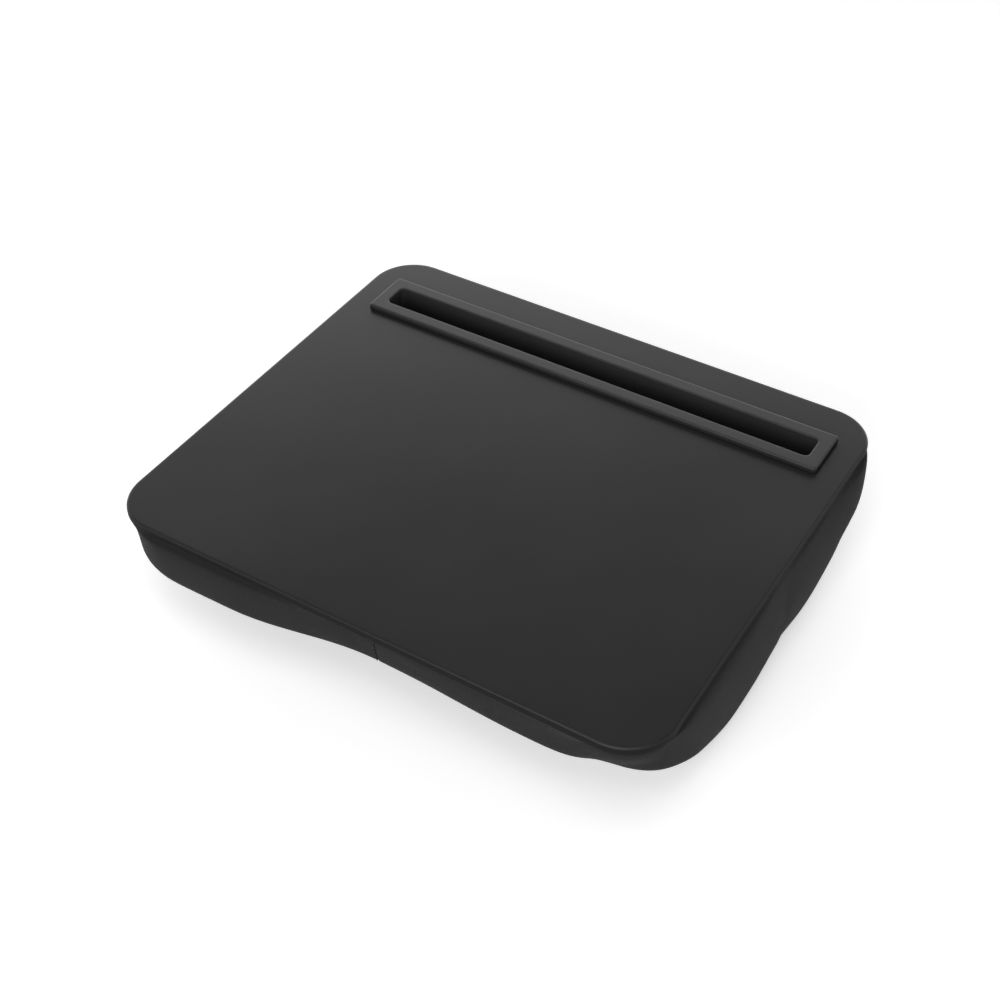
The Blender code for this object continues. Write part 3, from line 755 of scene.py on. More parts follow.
def cover_lines(cover, stations, inset):
    """The four lines that shape the cover: hem, rim, widest and foot, with a point at each station.

    With them come the heights of the last two and the power of the upper wall's swing. The widest
    line is drawn in at the seam and at the right front, and each lump or crease moves it out or in
    by its depth times exp(-(distance / reach)^2).
    """
    board = sizes("board")
    half_x, half_y = board.width / 2, board.depth / 2

    def line(grow_x, grow_y, corner):
        return rounded_outline(half_x + grow_x, half_y + grow_y, corner, stations, cover.seam_x)

    hem_in, rim_in = cover.hem_inset + cover.hem_width, cover.hem_inset + inset
    hem = line(-hem_in, -hem_in, board.corner - hem_in)
    rim = line(-rim_in, -rim_in, board.corner - rim_in)
    wide = line(cover.side_bulge - inset, cover.end_bulge - inset, cover.wide_corner - inset)
    foot = line(-cover.side_foot - inset, -cover.end_foot - inset, cover.foot_corner - inset)
    foot = respaced(foot, wide)
    along = np.roll(wide, -1, axis=0) - np.roll(wide, 1, axis=0)
    outward = np.stack([along[:, 1], -along[:, 0]], 1)
    outward /= np.linalg.norm(along, axis=1, keepdims=True)
    across = wide[:, 1] / (half_y + cover.end_bulge)
    end = blend_step(cover.end_start, 1, np.abs(across))
    reach = blend_step(0, 1, np.abs(rim[:, 0] - cover.seam_x) / cover.valley_reach)
    front_right = (rim[:, 0] > cover.seam_x) & (rim[:, 1] < 0)
    drawn = front_right * cover.front_draw * reach * end + cover.seam_tuck * (1 - reach) * end
    wide[:, 1] -= across * drawn
    foot[:, 1] -= across * front_right * cover.front_foot_draw * reach * end

    def lump(x, y, reach):
        return np.exp(-((wide[:, 0] - x) ** 2 + (wide[:, 1] - y) ** 2) / reach**2)

    front, back, right = -half_y, half_y, half_x
    back_corner = lump(x=right - 3 * MM, y=back - 14 * MM, reach=34 * MM)
    front_corner = lump(x=right - 7 * MM, y=front + 20 * MM, reach=13 * MM)
    swell = cover.front_corner_lobe * front_corner + cover.back_corner_lobe * back_corner
    swell -= cover.front_crease * lump(x=cover.front_crease_x, y=front + 6 * MM, reach=14 * MM)
    swell -= cover.side_crease * lump(x=right, y=cover.side_crease_y, reach=30 * MM)
    swell -= cover.waist * lump(x=right, y=5 * MM, reach=20 * MM)
    wide += outward * swell[:, None]
    foot += outward * swell[:, None] * FOOT_SWELL
    wide_z = cover.side_widest + (cover.end_widest - cover.side_widest) * end
    wide_z += cover.back_corner_rise * back_corner + inset
    foot_z = underside(cover, foot[:, 0], foot[:, 1]) + inset
    power = cover.upper_power * (1 - cover.back_corner_fullness * back_corner)
    return hem, rim, wide, foot, wide_z, foot_z, power


def cover_wall(cover, stations, levels, inset=0.0):
    """The wall of the cover as rows of points, from the hem on the panel down to the foot line.

    levels holds the shares from 0 to 1 down the hem, the fold over the panel's rim, the upper wall
    and the lower wall. The fold is a quarter circle, the upper wall swings out as a power of
    sin(share * 90 degrees), and the lower wall is a quarter of a rounded ellipse.
    """
    hem, rim, wide, foot, wide_z, foot_z, power = cover_lines(cover, stations, inset)
    flat, bend, upper, lower = (share[:, None, None] for share in levels)
    hem_z = BOARD_LOW[2] - HEM_DROP
    wall_z = hem_z - FOLD
    inner = rim + (hem - rim) * FOLD / cover.hem_width
    hem_rows = at_height(hem, hem_z) + flat * (at_height(inner, hem_z) - at_height(hem, hem_z))
    fold_z = np.broadcast_to(wall_z + FOLD * np.cos(bend * np.pi / 2), (len(bend), len(rim), 1))
    fold_rows = np.concatenate([inner + (rim - inner) * np.sin(bend * np.pi / 2), fold_z], 2)
    swing = np.sin(upper * np.pi / 2) ** power[:, None]
    upper_z = wall_z + (wide_z[:, None] - wall_z) * upper
    upper_rows = np.concatenate([rim + (wide - rim) * swing, upper_z], 2)
    turn, power = lower * np.pi / 2, 2 / cover.lower_power
    stays_out, falls = np.cos(turn) ** power, np.sin(turn) ** power
    lower_z = foot_z[:, None] + (wide_z - foot_z)[:, None] * (1 - falls)
    lower_rows = np.concatenate([foot + (wide - foot) * stays_out, lower_z], 2)
    return np.concatenate([hem_rows, fold_rows, upper_rows, lower_rows])


def second_steps(shares):
    """Matrix from a run's values to their bend at each inner share: next step less last step."""
    before, after = np.diff(shares)[:-1], np.diff(shares)[1:]
    cell = (before + after) / 2
    inner = np.arange(len(cell))
    matrix = np.zeros((len(cell), len(shares)))
    matrix[inner, inner] = 1 / (before * cell)
    matrix[inner, inner + 2] = 1 / (after * cell)
    matrix[inner, inner + 1] = -1 / (before * cell) - 1 / (after * cell)
    return matrix


def fill_ring(stations, edge):
    """A grid that fills a closed row of points: each inner point is a mean of those beside it.

    The mean is weighted so that the columns keep the spacing they have along the front, and the
    rows the spacing they have up the right side. It is found at once, from the modes of the two
    spacings, and has no folds.
    """
    end_right, end_left, side, bend = (len(share) for share in stations)
    wide_cells, deep_cells = end_left + end_right + bend, side + bend
    front_start, back_start = len(edge) - end_left - bend // 2, end_right + bend // 2 + deep_cells
    ring = np.concatenate([edge, edge])

    def run(start, cells):
        return ring[start: start + cells + 1]

    def spacing(row, least=0.2 * MM):
        cells = np.maximum(np.linalg.norm(np.diff(row[:, :2], axis=0), axis=1), least)
        return np.concatenate([[0], np.cumsum(cells)]) / cells.sum()

    front, right = run(front_start, wide_cells), run(front_start + wide_cells, deep_cells)
    back, left = run(back_start, wide_cells)[::-1], run(back_start + wide_cells, deep_cells)[::-1]
    rows = np.zeros((deep_cells + 1, wide_cells + 1, 3))
    rows[0], rows[-1], rows[:, 0], rows[:, -1] = front, back, left, right
    across, down = second_steps(spacing(front)), second_steps(spacing(right))
    known = np.einsum("ij,jkc->ikc", down[:, [0, -1]], rows[[0, -1], 1:-1])
    known += np.einsum("kj,ijc->ikc", across[:, [0, -1]], rows[1:-1][:, [0, -1]])
    value_a, mode_a = np.linalg.eig(across[:, 1:-1])
    value_d, mode_d = np.linalg.eig(down[:, 1:-1])
    shares = np.einsum("ij,jkc->ikc", np.linalg.inv(mode_d), known)
    shares = np.einsum("kj,ijc->ikc", np.linalg.inv(mode_a), shares)
    shares /= -(value_d[:, None] + value_a[None])[..., None]
    shares = np.einsum("ij,jkc->ikc", mode_d, shares)
    rows[1:-1, 1:-1] = np.real(np.einsum("kj,ijc->ikc", mode_a, shares))
    return rows


def cover_base(cover, stations, foot_row, inset=0.0):
    """The underside: the foot line filled with a grid, which takes the height of the underside."""
    rows = fill_ring(stations, foot_row)
    inner = rows[1:-1, 1:-1]
    inner[..., 2] = underside(cover, inner[..., 0], inner[..., 1]) + inset
    return rows


def seam_shares(length, near, widest, cells):
    """Shares from 0 along a run: cells grow evenly from near at the start, up to widest.

    A cell is the one before times a constant, found by halving so that they add up to the run.
    """
    low, high, halvings = 1.0, 2.0, 60
    for _ in range(halvings):
        growth = (low + high) / 2
        steps = np.minimum(near * growth ** np.arange(cells), widest)
        low, high = (growth, high) if steps.sum() < length else (low, growth)
    edges = np.concatenate([[0.0], np.cumsum(steps)])
    return (edges / edges[-1])[:-1]


def cover_stations(across, side, bend):
    """Stations round the cover: close together at the seam, even along the sides and corners."""
    board = sizes("board")
    end = seam_shares(board.width / 2 - board.corner, near=0.35 * MM, widest=7 * MM, cells=across)
    return end, end, even(side), even(bend)


def cover_levels(cover):
    """Shares down the hem, the fold, the upper wall and the lower wall, close at the base seam."""
    seam = cover.base_seam
    above = seam_shares(1.0, near=0.035, widest=1.0, cells=9)
    below = seam_shares(1.0, near=0.03, widest=1.0, cells=10)
    above = seam * (1 - np.append(above, 1.0))[::-1]
    below = seam + (1 - seam) * np.append(below, 1.0)[1:]
    hem, fold = np.array([0.0, 0.4, 0.75]), np.array([0.0, 0.34, 0.67])
    return hem, fold, even(11) ** WALL_SPREAD, np.concatenate([above, below])


def swell_cloth(cover, points, faces, held):
    """Blows the cover up with Cloth and returns its points, none moved by more than the swell.

    The points that are held are sewn, glued or pressed on the floor, and stay put.
    """
    scene = bpy.context.scene
    mesh = make_mesh("swelling", points, faces)
    cushion = add_object("swelling", mesh)
    group = cushion.vertex_groups.new(name="held")
    group.add(np.nonzero(held)[0].tolist(), 1.0, "REPLACE")
    cloth = cushion.modifiers.new("cloth", "CLOTH")
    for name, value in CLOTH.items():
        setattr(cloth.settings, name, value)
    cloth.settings.uniform_pressure_force = cover.pressure
    cloth.settings.effector_weights.gravity = 0
    cloth.collision_settings.use_collision = False
    cloth.point_cache.frame_start = 1
    cloth.point_cache.frame_end = cover.frames
    for number in range(1, cover.frames + 1):
        scene.frame_set(number)
    solved = cushion.evaluated_get(bpy.context.evaluated_depsgraph_get()).to_mesh()
    after = np.zeros(points.size, np.float32)
    solved.vertices.foreach_get("co", after)
    scene.frame_set(1)
    bpy.data.objects.remove(cushion)
    bpy.data.meshes.remove(mesh)
    move = after.reshape(-1, 3) - points
    length = np.linalg.norm(move, axis=1, keepdims=True)
    cap = cover.swell / np.maximum(length, 1e-9)
    return points + move * np.where(length > cover.swell, cap, 1.0)


def surface_normals(points, faces):
    """Unit normal at each point: the sum of the normals of its faces, each as large as the face."""
    a, b, c, d = (points[faces[:, k]] for k in range(4))
    whole = np.cross(c - a, d - b)
    normals = np.zeros_like(points)
    for k in range(4):
        np.add.at(normals, faces[:, k], whole)
    return normals / np.maximum(np.linalg.norm(normals, axis=1, keepdims=True), 1e-12)


def cover_grid(cover, stations, levels):
    """The wall and the underside as one list of points and quads, joined at the foot line.

    With it come two grids of numbers: which point of the list each point of the wall and of the
    underside is.
    """
    wall = cover_wall(cover, stations, levels)
    base = cover_base(cover, stations, wall[-1])
    rows, columns = wall.shape[:2]
    points = np.concatenate([wall.reshape(-1, 3), base.reshape(-1, 3)])
    under = grid_faces(*base.shape[:2], rows * columns, closed=False)
    faces = np.concatenate([grid_faces(rows, columns), under])[:, ::-1]
    foot = (np.arange(columns) - len(stations[1]) - len(stations[3]) // 2) % columns
    joined = np.arange(len(points))
    joined[border_loop(*base.shape[:2], rows * columns)] = (rows - 1) * columns + foot
    kept, numbers = np.unique(joined, return_inverse=True)
    on_wall, on_base = np.split(numbers, [rows * columns])
    on_wall, on_base = on_wall.reshape(rows, columns), on_base.reshape(base.shape[:2])
    return points[kept], numbers[faces], on_wall, on_base


def border_loop(rows, columns, first):
    """Numbers of a grid's border, anticlockwise from its first point."""
    front = np.arange(columns - 1)
    right = np.arange(rows - 1) * columns + columns - 1
    back = (rows - 1) * columns + columns - 1 - np.arange(columns - 1)
    left = (rows - 1 - np.arange(rows - 1)) * columns
    return first + np.concatenate([front, right, back, left])


def sewn_depth(distance, width):
    """Profile of a sewn groove: exp(-(distance / width)^2)."""
    return np.exp(-((distance / width) ** 2))


def clear_of_panel(points, clearance):
    """Points beside the panel moved out until they clear its edge; the move fades out under it.

    The distance to the edge is that to a rounded rectangle: the length of the part of |p| past the
    corners' centres, less the corner's radius.
    """
    half = np.subtract(PANEL_HIGH[:2], PANEL_LOW[:2]) / 2
    corner = sizes("board").corner + half[0] - sizes("board").width / 2
    past = np.maximum(np.abs(points[:, :2]) - (half - corner), 0)
    length = np.linalg.norm(past, axis=1)
    short = np.maximum(clearance - (length - corner), 0) * (length > 0)
    fade_from, fade_to = PANEL_HIGH[2] - 3 * MM, PANEL_HIGH[2] - 18 * MM
    beside = blend_step(fade_to, fade_from, points[:, 2])
    outward = np.sign(points[:, :2]) * past / np.maximum(length, 1e-9)[:, None]
    moved = points.copy()
    moved[:, :2] += outward * (short * beside)[:, None]
    return moved


def seam_bow(cover, points):
    """How far the centre seam wanders left: half a wave down the upper wall, fading beside it."""
    wave_depth, fade_width = 20 * MM, 6 * MM
    down = np.clip((PANEL_HIGH[2] - points[:, 2]) / wave_depth, 0, 1)
    fade = sewn_depth(points[:, 0] - cover.seam_x, fade_width)
    return cover.seam_bow * np.sin(np.pi * down) * fade


def stitches(path, outward, length, width, pitch):
    """Short thread stitches along a path: each a six-sided rod with rounded ends that follows it.

    A stitch's radius is width / 2 * sqrt(1 - t^2) on t from -1 to 1 along it, and its middle stands
    above the cloth by a third of its width.
    """
    along = travelled(path)
    count = int(along[-1] / pitch)
    middles = (np.arange(count) + 0.5) * along[-1] / count
    t = np.array([-0.98, -0.75, -0.3, 0.3, 0.75, 0.98])
    at = middles[:, None] + t * length / 2

    def unit(vectors):
        return vectors / np.linalg.norm(vectors, axis=-1, keepdims=True)

    def along_path(values):
        return np.stack([np.interp(at, along, values[:, axis]) for axis in range(3)], -1)

    centre, normal = along_path(path), unit(along_path(outward))
    side = np.cross(unit(np.gradient(centre, axis=1)), normal)
    sides = 6
    angle = np.arange(sides) * np.pi / 3
    radius = width / 2 * np.sqrt(1 - t**2)
    lift = centre + normal * width / 3 * np.sqrt(1 - t**2)[:, None]
    ring = normal[:, :, None] * np.cos(angle)[:, None] + side[:, :, None] * np.sin(angle)[:, None]
    points = lift[:, :, None] + ring * radius[:, None, None]
    block = len(t) * sides
    ends = np.array([[0, 1, 2, 3], [0, 3, 4, 5]])
    one = np.concatenate([grid_faces(len(t), sides), ends[:, ::-1], ends + block - sides])
    faces = (np.arange(count)[:, None, None] * block + one[None]).reshape(-1, 4)
    return points.reshape(-1, 3), faces


def join_grids(*grids):
    """Several lists of points and quads as one."""
    starts = np.cumsum([0] + [len(points) for points, _ in grids[:-1]])
    faces = [faces + start for (_, faces), start in zip(grids, starts)]
    return np.concatenate([points for points, _ in grids]), np.concatenate(faces)


# Operators


class MakeBoard(bpy.types.Operator):
    """Makes the board: one closed surface carried round the slot's cut-out, the top and the rim"""

    bl_idname = "cushion_stand.make_board"
    bl_label = "Board"

    def execute(self, context):
        rows, wear_and_highlight, matt_and_shade = board_rows(sizes("board"), sizes("trough"))
        count, around = rows.shape[:2]
        mesh = make_mesh("board_shell", rows, grid_faces(count, around, looped=True)[:, ::-1])
        # Masks: worn edges with a painted highlight, and the rim's dull finish with painted shade.
        add_mask(mesh, "wear_and_highlight_mask", np.repeat(wear_and_highlight, around))
        add_mask(mesh, "matt_and_shade_mask", np.repeat(matt_and_shade, around))
        close_up(mesh)
        finish = plastic(
            "satin board plastic", sizes("finishes").board, gloss=0.30, grain_scale=2600.0,
            grain_depth=0.012 * MM, wear_and_highlight_gain=0.2, matt_shaded_rim=True,
        )
        place(mesh, finish, ["top_board"], sharp=50)
        return {"FINISHED"}


class MakeTrough(bpy.types.Operator):
    """Makes the trough and its raised flange as one closed surface"""

    bl_idname = "cushion_stand.make_trough"
    bl_label = "Trough"

    def execute(self, context):
        rows, wear_and_highlight = trough_rows(sizes("trough"))
        count, around = rows.shape[:2]
        mesh = make_mesh("trough_shell", rows, grid_faces(count, around))
        # Mask: worn edges with a painted highlight.
        add_mask(mesh, "wear_and_highlight_mask", np.repeat(wear_and_highlight, around))
        close_up(mesh)
        finish = plastic(
            "grained trough plastic", sizes("finishes").trough, gloss=0.42, grain_scale=1500.0,
            grain_depth=0.04 * MM, wear_and_highlight_gain=0.1,
        )
        place(mesh, finish, ["slot_trough"], sharp=50)
        return {"FINISHED"}


class MakeCover(bpy.types.Operator):
    """Makes the knit cover of both lobes, swollen by its filling, with sewn grooves and stitches"""

    bl_idname = "cushion_stand.make_cover"
    bl_label = "Cover"

    def execute(self, context):
        cover = sizes("cover")
        stations, levels = cover_stations(across=26, side=34, bend=16), cover_levels(cover)
        points, faces, on_wall, on_base = cover_grid(cover, stations, levels)
        on_panel = len(levels[0]) + len(levels[1])
        near_seam, near_floor = 2 * MM, 3 * MM
        held = (np.abs(points[:, 0] - cover.seam_x) < near_seam) | (points[:, 2] < near_floor)
        held[on_wall[: on_panel + 1]] = True
        points = swell_cloth(cover, points, faces, held)
        points[:, 2] = np.maximum(points[:, 2], 0.0)
        points[:, 0] -= seam_bow(cover, points)
        in_open = on_wall[on_panel:].ravel()
        points[in_open] = clear_of_panel(points[in_open], clearance=1.3 * MM)
        wall, base = points[on_wall], points[on_base]
        seam_row = sum(map(len, levels[:3])) + int(np.argmin(np.abs(levels[3] - cover.base_seam)))
        depth = travelled(wall)
        to_base_seam, free = np.ones((2, len(points)))
        to_base_seam[on_wall] = np.abs(depth - depth[seam_row])
        fade_start, fade_end = 0.5 * MM, 3 * MM
        free[on_wall] = blend_step(fade_start, fade_end, depth - depth[on_panel])
        centre = sewn_depth(points[:, 0] - cover.seam_x, width=0.5 * MM) * free
        side = sewn_depth(to_base_seam, width=1 * MM) * free
        pull = cover.groove * np.maximum(centre, side)
        points = points - surface_normals(points, faces) * pull[:, None]
        points[:, 2] = np.maximum(points[:, 2], 0.0)
        mesh = make_mesh("cushion_cover", points, faces)
        # Mask of the painted shade along the sewn grooves.
        add_mask(mesh, "seam_shade_mask", np.clip(centre + side, 0, 1))
        add_uv(mesh, self.cloth_uv(mesh, wall, base, on_wall, on_base))
        nodes = ["cover_band_left", "cover_band_right", "cover_base_left", "cover_base_right"]
        piece = place(mesh, knit("black knit", sizes("finishes").knit), nodes)
        smooth = piece.modifiers.new("smooth", "SUBSURF")
        smooth.levels = smooth.render_levels = 1
        thicken(piece, "fabric", cover.fabric, -1)
        below_fold = on_wall[on_panel + 3:]
        self.add_thread(points, faces, below_fold, on_wall[seam_row], on_base)
        return {"FINISHED"}

    def cloth_uv(self, mesh, wall, base, on_wall, on_base):
        """UV in metres: round and down the cover on the wall, from above on the underside."""
        widest = wall[len(wall) * 2 // 3]
        around = travelled(widest)
        whole = around[-1] + np.linalg.norm(widest[0] - widest[-1])
        wall_uv, base_uv = np.zeros((2, len(mesh.vertices), 2))
        wall_uv[on_wall] = np.stack([np.broadcast_to(around, on_wall.shape), -travelled(wall)], -1)
        base_uv[on_base] = base[..., :2]
        quads = face_corners(mesh).reshape(-1, 4)
        is_wall = np.arange(len(quads)) < grid_faces(*on_wall.shape).shape[0]
        uv = np.where(is_wall[:, None, None], wall_uv[quads], base_uv[quads])
        wraps = is_wall & (np.ptp(uv[..., 0], axis=1) > around[-1] / 2)
        past_start = wraps[:, None] & (uv[..., 0] < around[-1] / 2)
        uv[..., 0] += np.where(past_start, whole, 0)
        return uv

    def add_thread(self, points, faces, below_fold, base_seam, on_base):
        """Stitches down the centre seam at both ends, under the cushion and round the base seam."""
        normals = surface_normals(points, faces)
        middle_row = points[on_base[len(on_base) // 2], 0]
        middle = np.argmin(np.abs(middle_row - sizes("cover").seam_x))
        front, back = below_fold[:, 0], below_fold[:, below_fold.shape[1] // 2]
        lines = [front, back, on_base[:, middle], np.append(base_seam, base_seam[0])]
        made = {"length": 2.4 * MM, "width": 0.45 * MM, "pitch": 3.4 * MM}
        grids = [stitches(points[line], normals[line], **made) for line in lines]
        mesh = make_mesh("seam_thread", *join_grids(*grids))
        close_up(mesh)
        place(mesh, tape("black sewing thread", sizes("finishes").knit, pile=2500.0))


class MakeFilling(bpy.types.Operator):
    """Makes the two bags of foam beads and the cloth baffle between them"""

    bl_idname = "cushion_stand.make_filling"
    bl_label = "Filling"

    lid_rise = 13.2 * MM
    well_gap = 1.5 * MM

    def execute(self, context):
        beads = foam_beads("foam beads", sizes("finishes").beads)
        for name, side in (("left", -1), ("right", 1)):
            mesh = self.bag(f"bead_bag_{name}", side)
            bag = place(mesh, beads, [f"bead_fill_{name}"])
        self.baffle(sizes("cover"))
        return {"FINISHED"}

    def baffle(self, cover):
        """The baffle: a sheet in the plane of the seam, from the underside's dip up to the lid.

        Along y it is straight. Its lower edge lies on the dip and turns up towards its ends, as the
        square of the share of the way there, and its upper edge has a notch for the well.
        """
        half, turn_from, end_z = BAFFLE_HIGH[1] - 2 * MM, 55 * MM, 36 * MM
        off_cover, off_lid, ripple_depth, ripple_length = 2.5 * MM, 1 * MM, 0.3 * MM, 11 * MM
        columns, rows = 141, 13
        y, share = np.linspace(-half, half, columns), np.linspace(0, 1, rows)[:, None]
        turn = np.clip((np.abs(y) - turn_from) / (half - turn_from), 0, 1)
        lower = underside(cover, cover.seam_x, y) + off_cover
        lower = lower + (end_z - lower) * turn**2
        upper = self.lid_height(np.stack([0 * y + cover.seam_x, y], -1)) - off_lid
        height = upper - lower
        z = lower + height * share
        ripple = ripple_depth * np.sin(y / ripple_length) * np.sin(np.pi * share)
        points = np.stack([cover.seam_x + ripple, np.broadcast_to(y, z.shape), z], -1)
        mesh = make_mesh("baffle_sheet", points, grid_faces(*z.shape, closed=False))
        add_uv(mesh, points[..., 1:].reshape(-1, 2)[face_corners(mesh)])
        cloth = knit("pale lining cloth", sizes("finishes").lining)
        piece = place(mesh, cloth, ["centre_baffle"])
        thicken(piece, "cloth", 0.6 * MM, 0)

    def bag(self, name, side):
        """One lobe's bag: the cover's own wall and underside, set in by a clearance, and a lid.

        The bag of both lobes is cut by a plane beside the seam, the same clearance from it, and the
        part on this side, -1 left or 1 right, is closed there with one flat face.
        """
        cover = sizes("cover")
        stations, inset, slack = (even(14), even(14), even(44), even(8)), 5 * MM, 1.5 * MM
        lower = np.linspace(0, 1, 9)
        upper = lower[:-1] ** WALL_SPREAD
        wall = cover_wall(cover, stations, (lower[:0], lower[:0], upper, lower), inset)
        below_lid = np.where(np.arange(len(wall)) < len(upper), 0, slack)[:, None]
        wall[..., 2] = np.minimum(wall[..., 2], self.lid_height(wall) - below_lid)
        base, lid = cover_base(cover, stations, wall[-1], inset), fill_ring(stations, wall[0])
        lid[..., 2] = self.lid_height(lid)
        start = np.cumsum([0, wall.size // 3, base.size // 3])
        faces = np.concatenate([
            grid_faces(*wall.shape[:2], start[0])[:, ::-1],
            grid_faces(*base.shape[:2], start[1], closed=False)[:, ::-1],
            grid_faces(*lid.shape[:2], start[2], closed=False),
        ])
        points = np.concatenate([grid.reshape(-1, 3) for grid in (wall, base, lid)])
        mesh = make_mesh(name, points, faces)
        close_up(mesh, distance=0.02 * MM)
        self.keep_side(mesh, cover.seam_x + side * inset, side)
        return mesh

    def keep_side(self, mesh, x, side):
        """Cuts a closed mesh at a plane across x, keeps the part on one side and closes the cut."""
        bm = bmesh.new()
        bm.from_mesh(mesh)
        cut = bmesh.ops.bisect_plane(
            bm, geom=[*bm.verts, *bm.edges, *bm.faces], dist=0.01 * MM, plane_co=(x, 0, 0),
            plane_no=(-side, 0, 0), clear_outer=True,
        )
        edges = [item for item in cut["geom_cut"] if isinstance(item, bmesh.types.BMEdge)]
        bmesh.ops.holes_fill(bm, edges=edges, sides=0)
        bmesh.ops.recalc_face_normals(bm, faces=bm.faces)
        bm.to_mesh(mesh)
        bm.free()

    def lid_height(self, grid):
        """Height of the lid over each point: flat under the panel, with a trench for its well.

        The trench's depth is a smooth step of the distance from the slot's middle line.
        """
        half = FLANGE_Y - 1 * MM
        near = blend_step(half + 6 * MM, half, np.abs(grid[..., 1] - SLOT_Y))
        far_end, near_end = TROUGH_HIGH[0] + 12 * MM, TROUGH_HIGH[0] + 3 * MM
        near = near * blend_step(far_end, near_end, np.abs(grid[..., 0]))
        return (1 - near) * (PANEL_LOW[2] + self.lid_rise) + near * (PANEL_LOW[2] - self.well_gap)


class FinishFrameParts(bpy.types.Operator):
    """Gives finishes to the backing panel and the hook and loop strips, which keep their shapes"""

    bl_idname = "cushion_stand.finish_frame_parts"
    bl_label = "Panel and strips"

    def execute(self, context):
        finishes = sizes("finishes")
        panel = plastic(
            "plain panel plastic", finishes.panel, gloss=0.5, grain_scale=1200.0,
            grain_depth=0.03 * MM,
        )
        hook = tape("hook tape", finishes.tape, pile=900.0)
        loop = tape("loop tape", finishes.tape, pile=500.0)
        self.finish("backing_panel", panel)
        for name in STRIPS:
            self.finish(name, hook if name.startswith("hook") else loop)
        return {"FINISHED"}

    def finish(self, name, material):
        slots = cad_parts[name].data.materials
        slots.clear()
        slots.append(material)


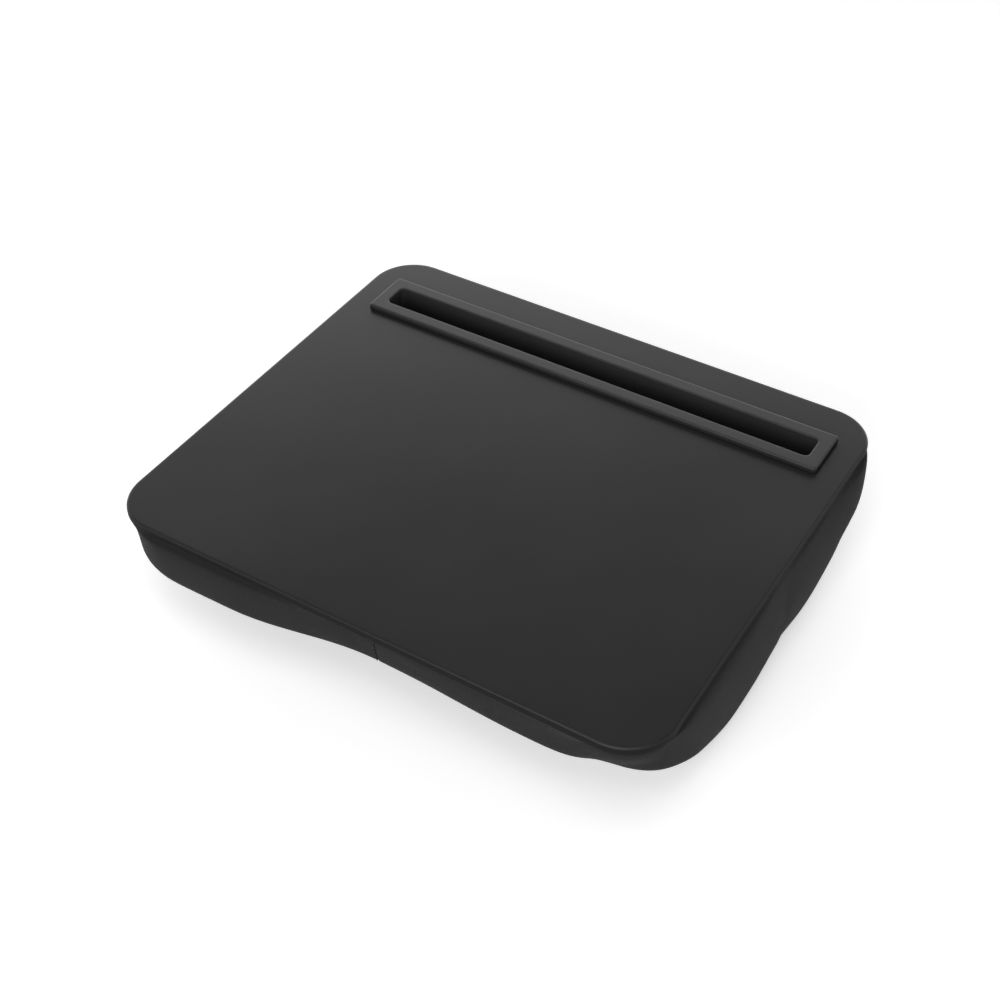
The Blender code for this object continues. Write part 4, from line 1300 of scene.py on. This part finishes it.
class MakeStage(bpy.types.Operator):
    """Makes the pale floor, the camera, the soft lights and the sky that the board mirrors"""

    bl_idname = "cushion_stand.make_stage"
    bl_label = "Stage"

    floor_side = 12.0

    def execute(self, context):
        studio = sizes("studio")
        self.floor(studio)
        self.camera(studio)
        self.light("top softbox", at=(0.2, -0.4, 1.5), size=(1.0, 1.0), power=studio.top_power)
        self.light("front softbox", at=(0.1, -1.3, 0.7), size=(1.2, 0.6), power=studio.front_power)
        self.sky(studio)
        context.scene.view_settings.view_transform = "Standard"
        return {"FINISHED"}

    def floor(self, studio):
        """A flat pale floor. To the camera alone it glows a little, as a light table does."""
        places = np.linspace(-0.5, 0.5, 9) * self.floor_side
        x, y = np.meshgrid(places, places)
        faces = grid_faces(*x.shape, closed=False)
        mesh = make_mesh("studio_floor", np.stack([x, y, 0 * x], -1), faces)
        material, wire, shader = new_material("studio floor")
        place_on = wire.coordinates("Object")
        cloud = wire.group(cloud_group(), Vector=place_on, Scale=3.0, Amount=0.01)["Factor"]
        seen = wire.node("ShaderNodeLightPath").outputs["Is Camera Ray"]
        wire.fill(shader, {
            "Base Color": wire.tint(sizes("finishes").floor, cloud),
            "Roughness": 0.9,
            "Specular IOR Level": 0.1,
            "Emission Color": (1.0, 1.0, 1.0, 1.0),
            "Emission Strength": wire.math("MULTIPLY", seen, studio.table),
        })
        mesh.materials.append(material)
        add_object("studio_floor", mesh)

    def camera(self, studio):
        """The view looks along (-sin a cos e, cos a cos e, -sin e), turned by the roll."""
        a, e = studio.azimuth, studio.elevation
        view = Vector((-math.sin(a) * math.cos(e), math.cos(a) * math.cos(e), -math.sin(e)))
        right = view.cross(Vector((0, 0, 1))).normalized()
        up = right.cross(view)
        turn = Matrix.Rotation(studio.roll, 3, "Z")
        basis = Matrix((right, up, -view)).transposed() @ turn
        camera = add_object("camera", bpy.data.cameras.new("camera"))
        camera.data.lens, camera.data.sensor_width = studio.lens, 36
        camera.matrix_world = Matrix.Translation(Vector(studio.camera_place)) @ basis.to_4x4()
        bpy.context.scene.camera = camera

    def light(self, name, at, size, power):
        """A soft rectangular light that faces the middle of the floor."""
        lamp = add_object(name, bpy.data.lights.new(name, "AREA"))
        lamp.data.shape = "RECTANGLE"
        lamp.data.size, lamp.data.size_y = size
        lamp.data.energy = power
        lamp.location = at
        lamp.rotation_euler = (-Vector(at)).to_track_quat("-Z", "Y").to_euler()

    def sky(self, studio):
        """The sky: bright low down behind the stand, dim in front of it and overhead.

        Its strength is the zenith's, plus the horizon's share, which falls off with the direction's
        height and with the angle from the back left, as their dot product says.
        """
        world = bpy.data.worlds.new("studio sky")
        world.use_nodes = True
        bpy.context.scene.world = world
        wire = Wiring(world.node_tree)
        direction, back_left = wire.coordinates("Generated"), (-0.55, 0.83, 0.0)
        height = wire.node("ShaderNodeSeparateXYZ", {"Vector": direction}).outputs["Z"]
        low = wire.remap(height, 0.45, 0.63, 1.0, 0.0)
        pair = {0: direction, 1: back_left}
        turned = wire.node("ShaderNodeVectorMath", pair, operation="DOT_PRODUCT").outputs["Value"]
        behind = wire.remap(turned, 0.5, 0.86, studio.front_share, 1.0)
        glow = wire.math("MULTIPLY", low, behind)
        strength = wire.math("MULTIPLY_ADD", glow, studio.horizon - studio.zenith, studio.zenith)
        background = world.node_tree.nodes["Background"]
        wire.fill(background, {"Color": (1.0, 1.0, 1.0, 1.0), "Strength": strength})


class CUSHIONSTAND_PT_pieces(bpy.types.Panel):
    """Sizes, colours and a button for each piece"""

    bl_label = "Cushion Stand"
    bl_space_type = "VIEW_3D"
    bl_region_type = "UI"
    bl_category = "Cushion Stand"

    def draw(self, context):
        settings = context.scene.cushion_stand
        for name in ("board", "trough", "cover", "finishes", "studio"):
            group = getattr(settings, name)
            box = self.layout.box()
            box.label(text=name.capitalize())
            for key in group.bl_rna.properties.keys():
                if key not in {"rna_type", "name"}:
                    box.prop(group, key)
        for operator in OPERATORS:
            self.layout.operator(operator.bl_idname)


class StandSettings(bpy.types.PropertyGroup):
    """All settings of the stand."""

    board: PointerProperty(type=BoardSizes)
    trough: PointerProperty(type=TroughSizes)
    cover: PointerProperty(type=CoverSizes)
    finishes: PointerProperty(type=Finishes)
    studio: PointerProperty(type=Studio)


OPERATORS = (MakeBoard, MakeTrough, MakeCover, MakeFilling, FinishFrameParts, MakeStage)
GROUPS = (BoardSizes, TroughSizes, CoverSizes, Finishes, Studio, StandSettings)
CLASSES = (*GROUPS, *OPERATORS, CUSHIONSTAND_PT_pieces)


def register():
    for made in CLASSES:
        bpy.utils.register_class(made)
    bpy.types.Scene.cushion_stand = PointerProperty(type=StandSettings)


def unregister():
    del bpy.types.Scene.cushion_stand
    for made in reversed(CLASSES):
        bpy.utils.unregister_class(made)


def main():
    register()
    bpy.ops.cushion_stand.make_board()
    bpy.ops.cushion_stand.make_trough()
    bpy.ops.cushion_stand.make_cover()
    bpy.ops.cushion_stand.make_filling()
    bpy.ops.cushion_stand.finish_frame_parts()
    bpy.ops.cushion_stand.make_stage()


if __name__ == "__main__":
    main()
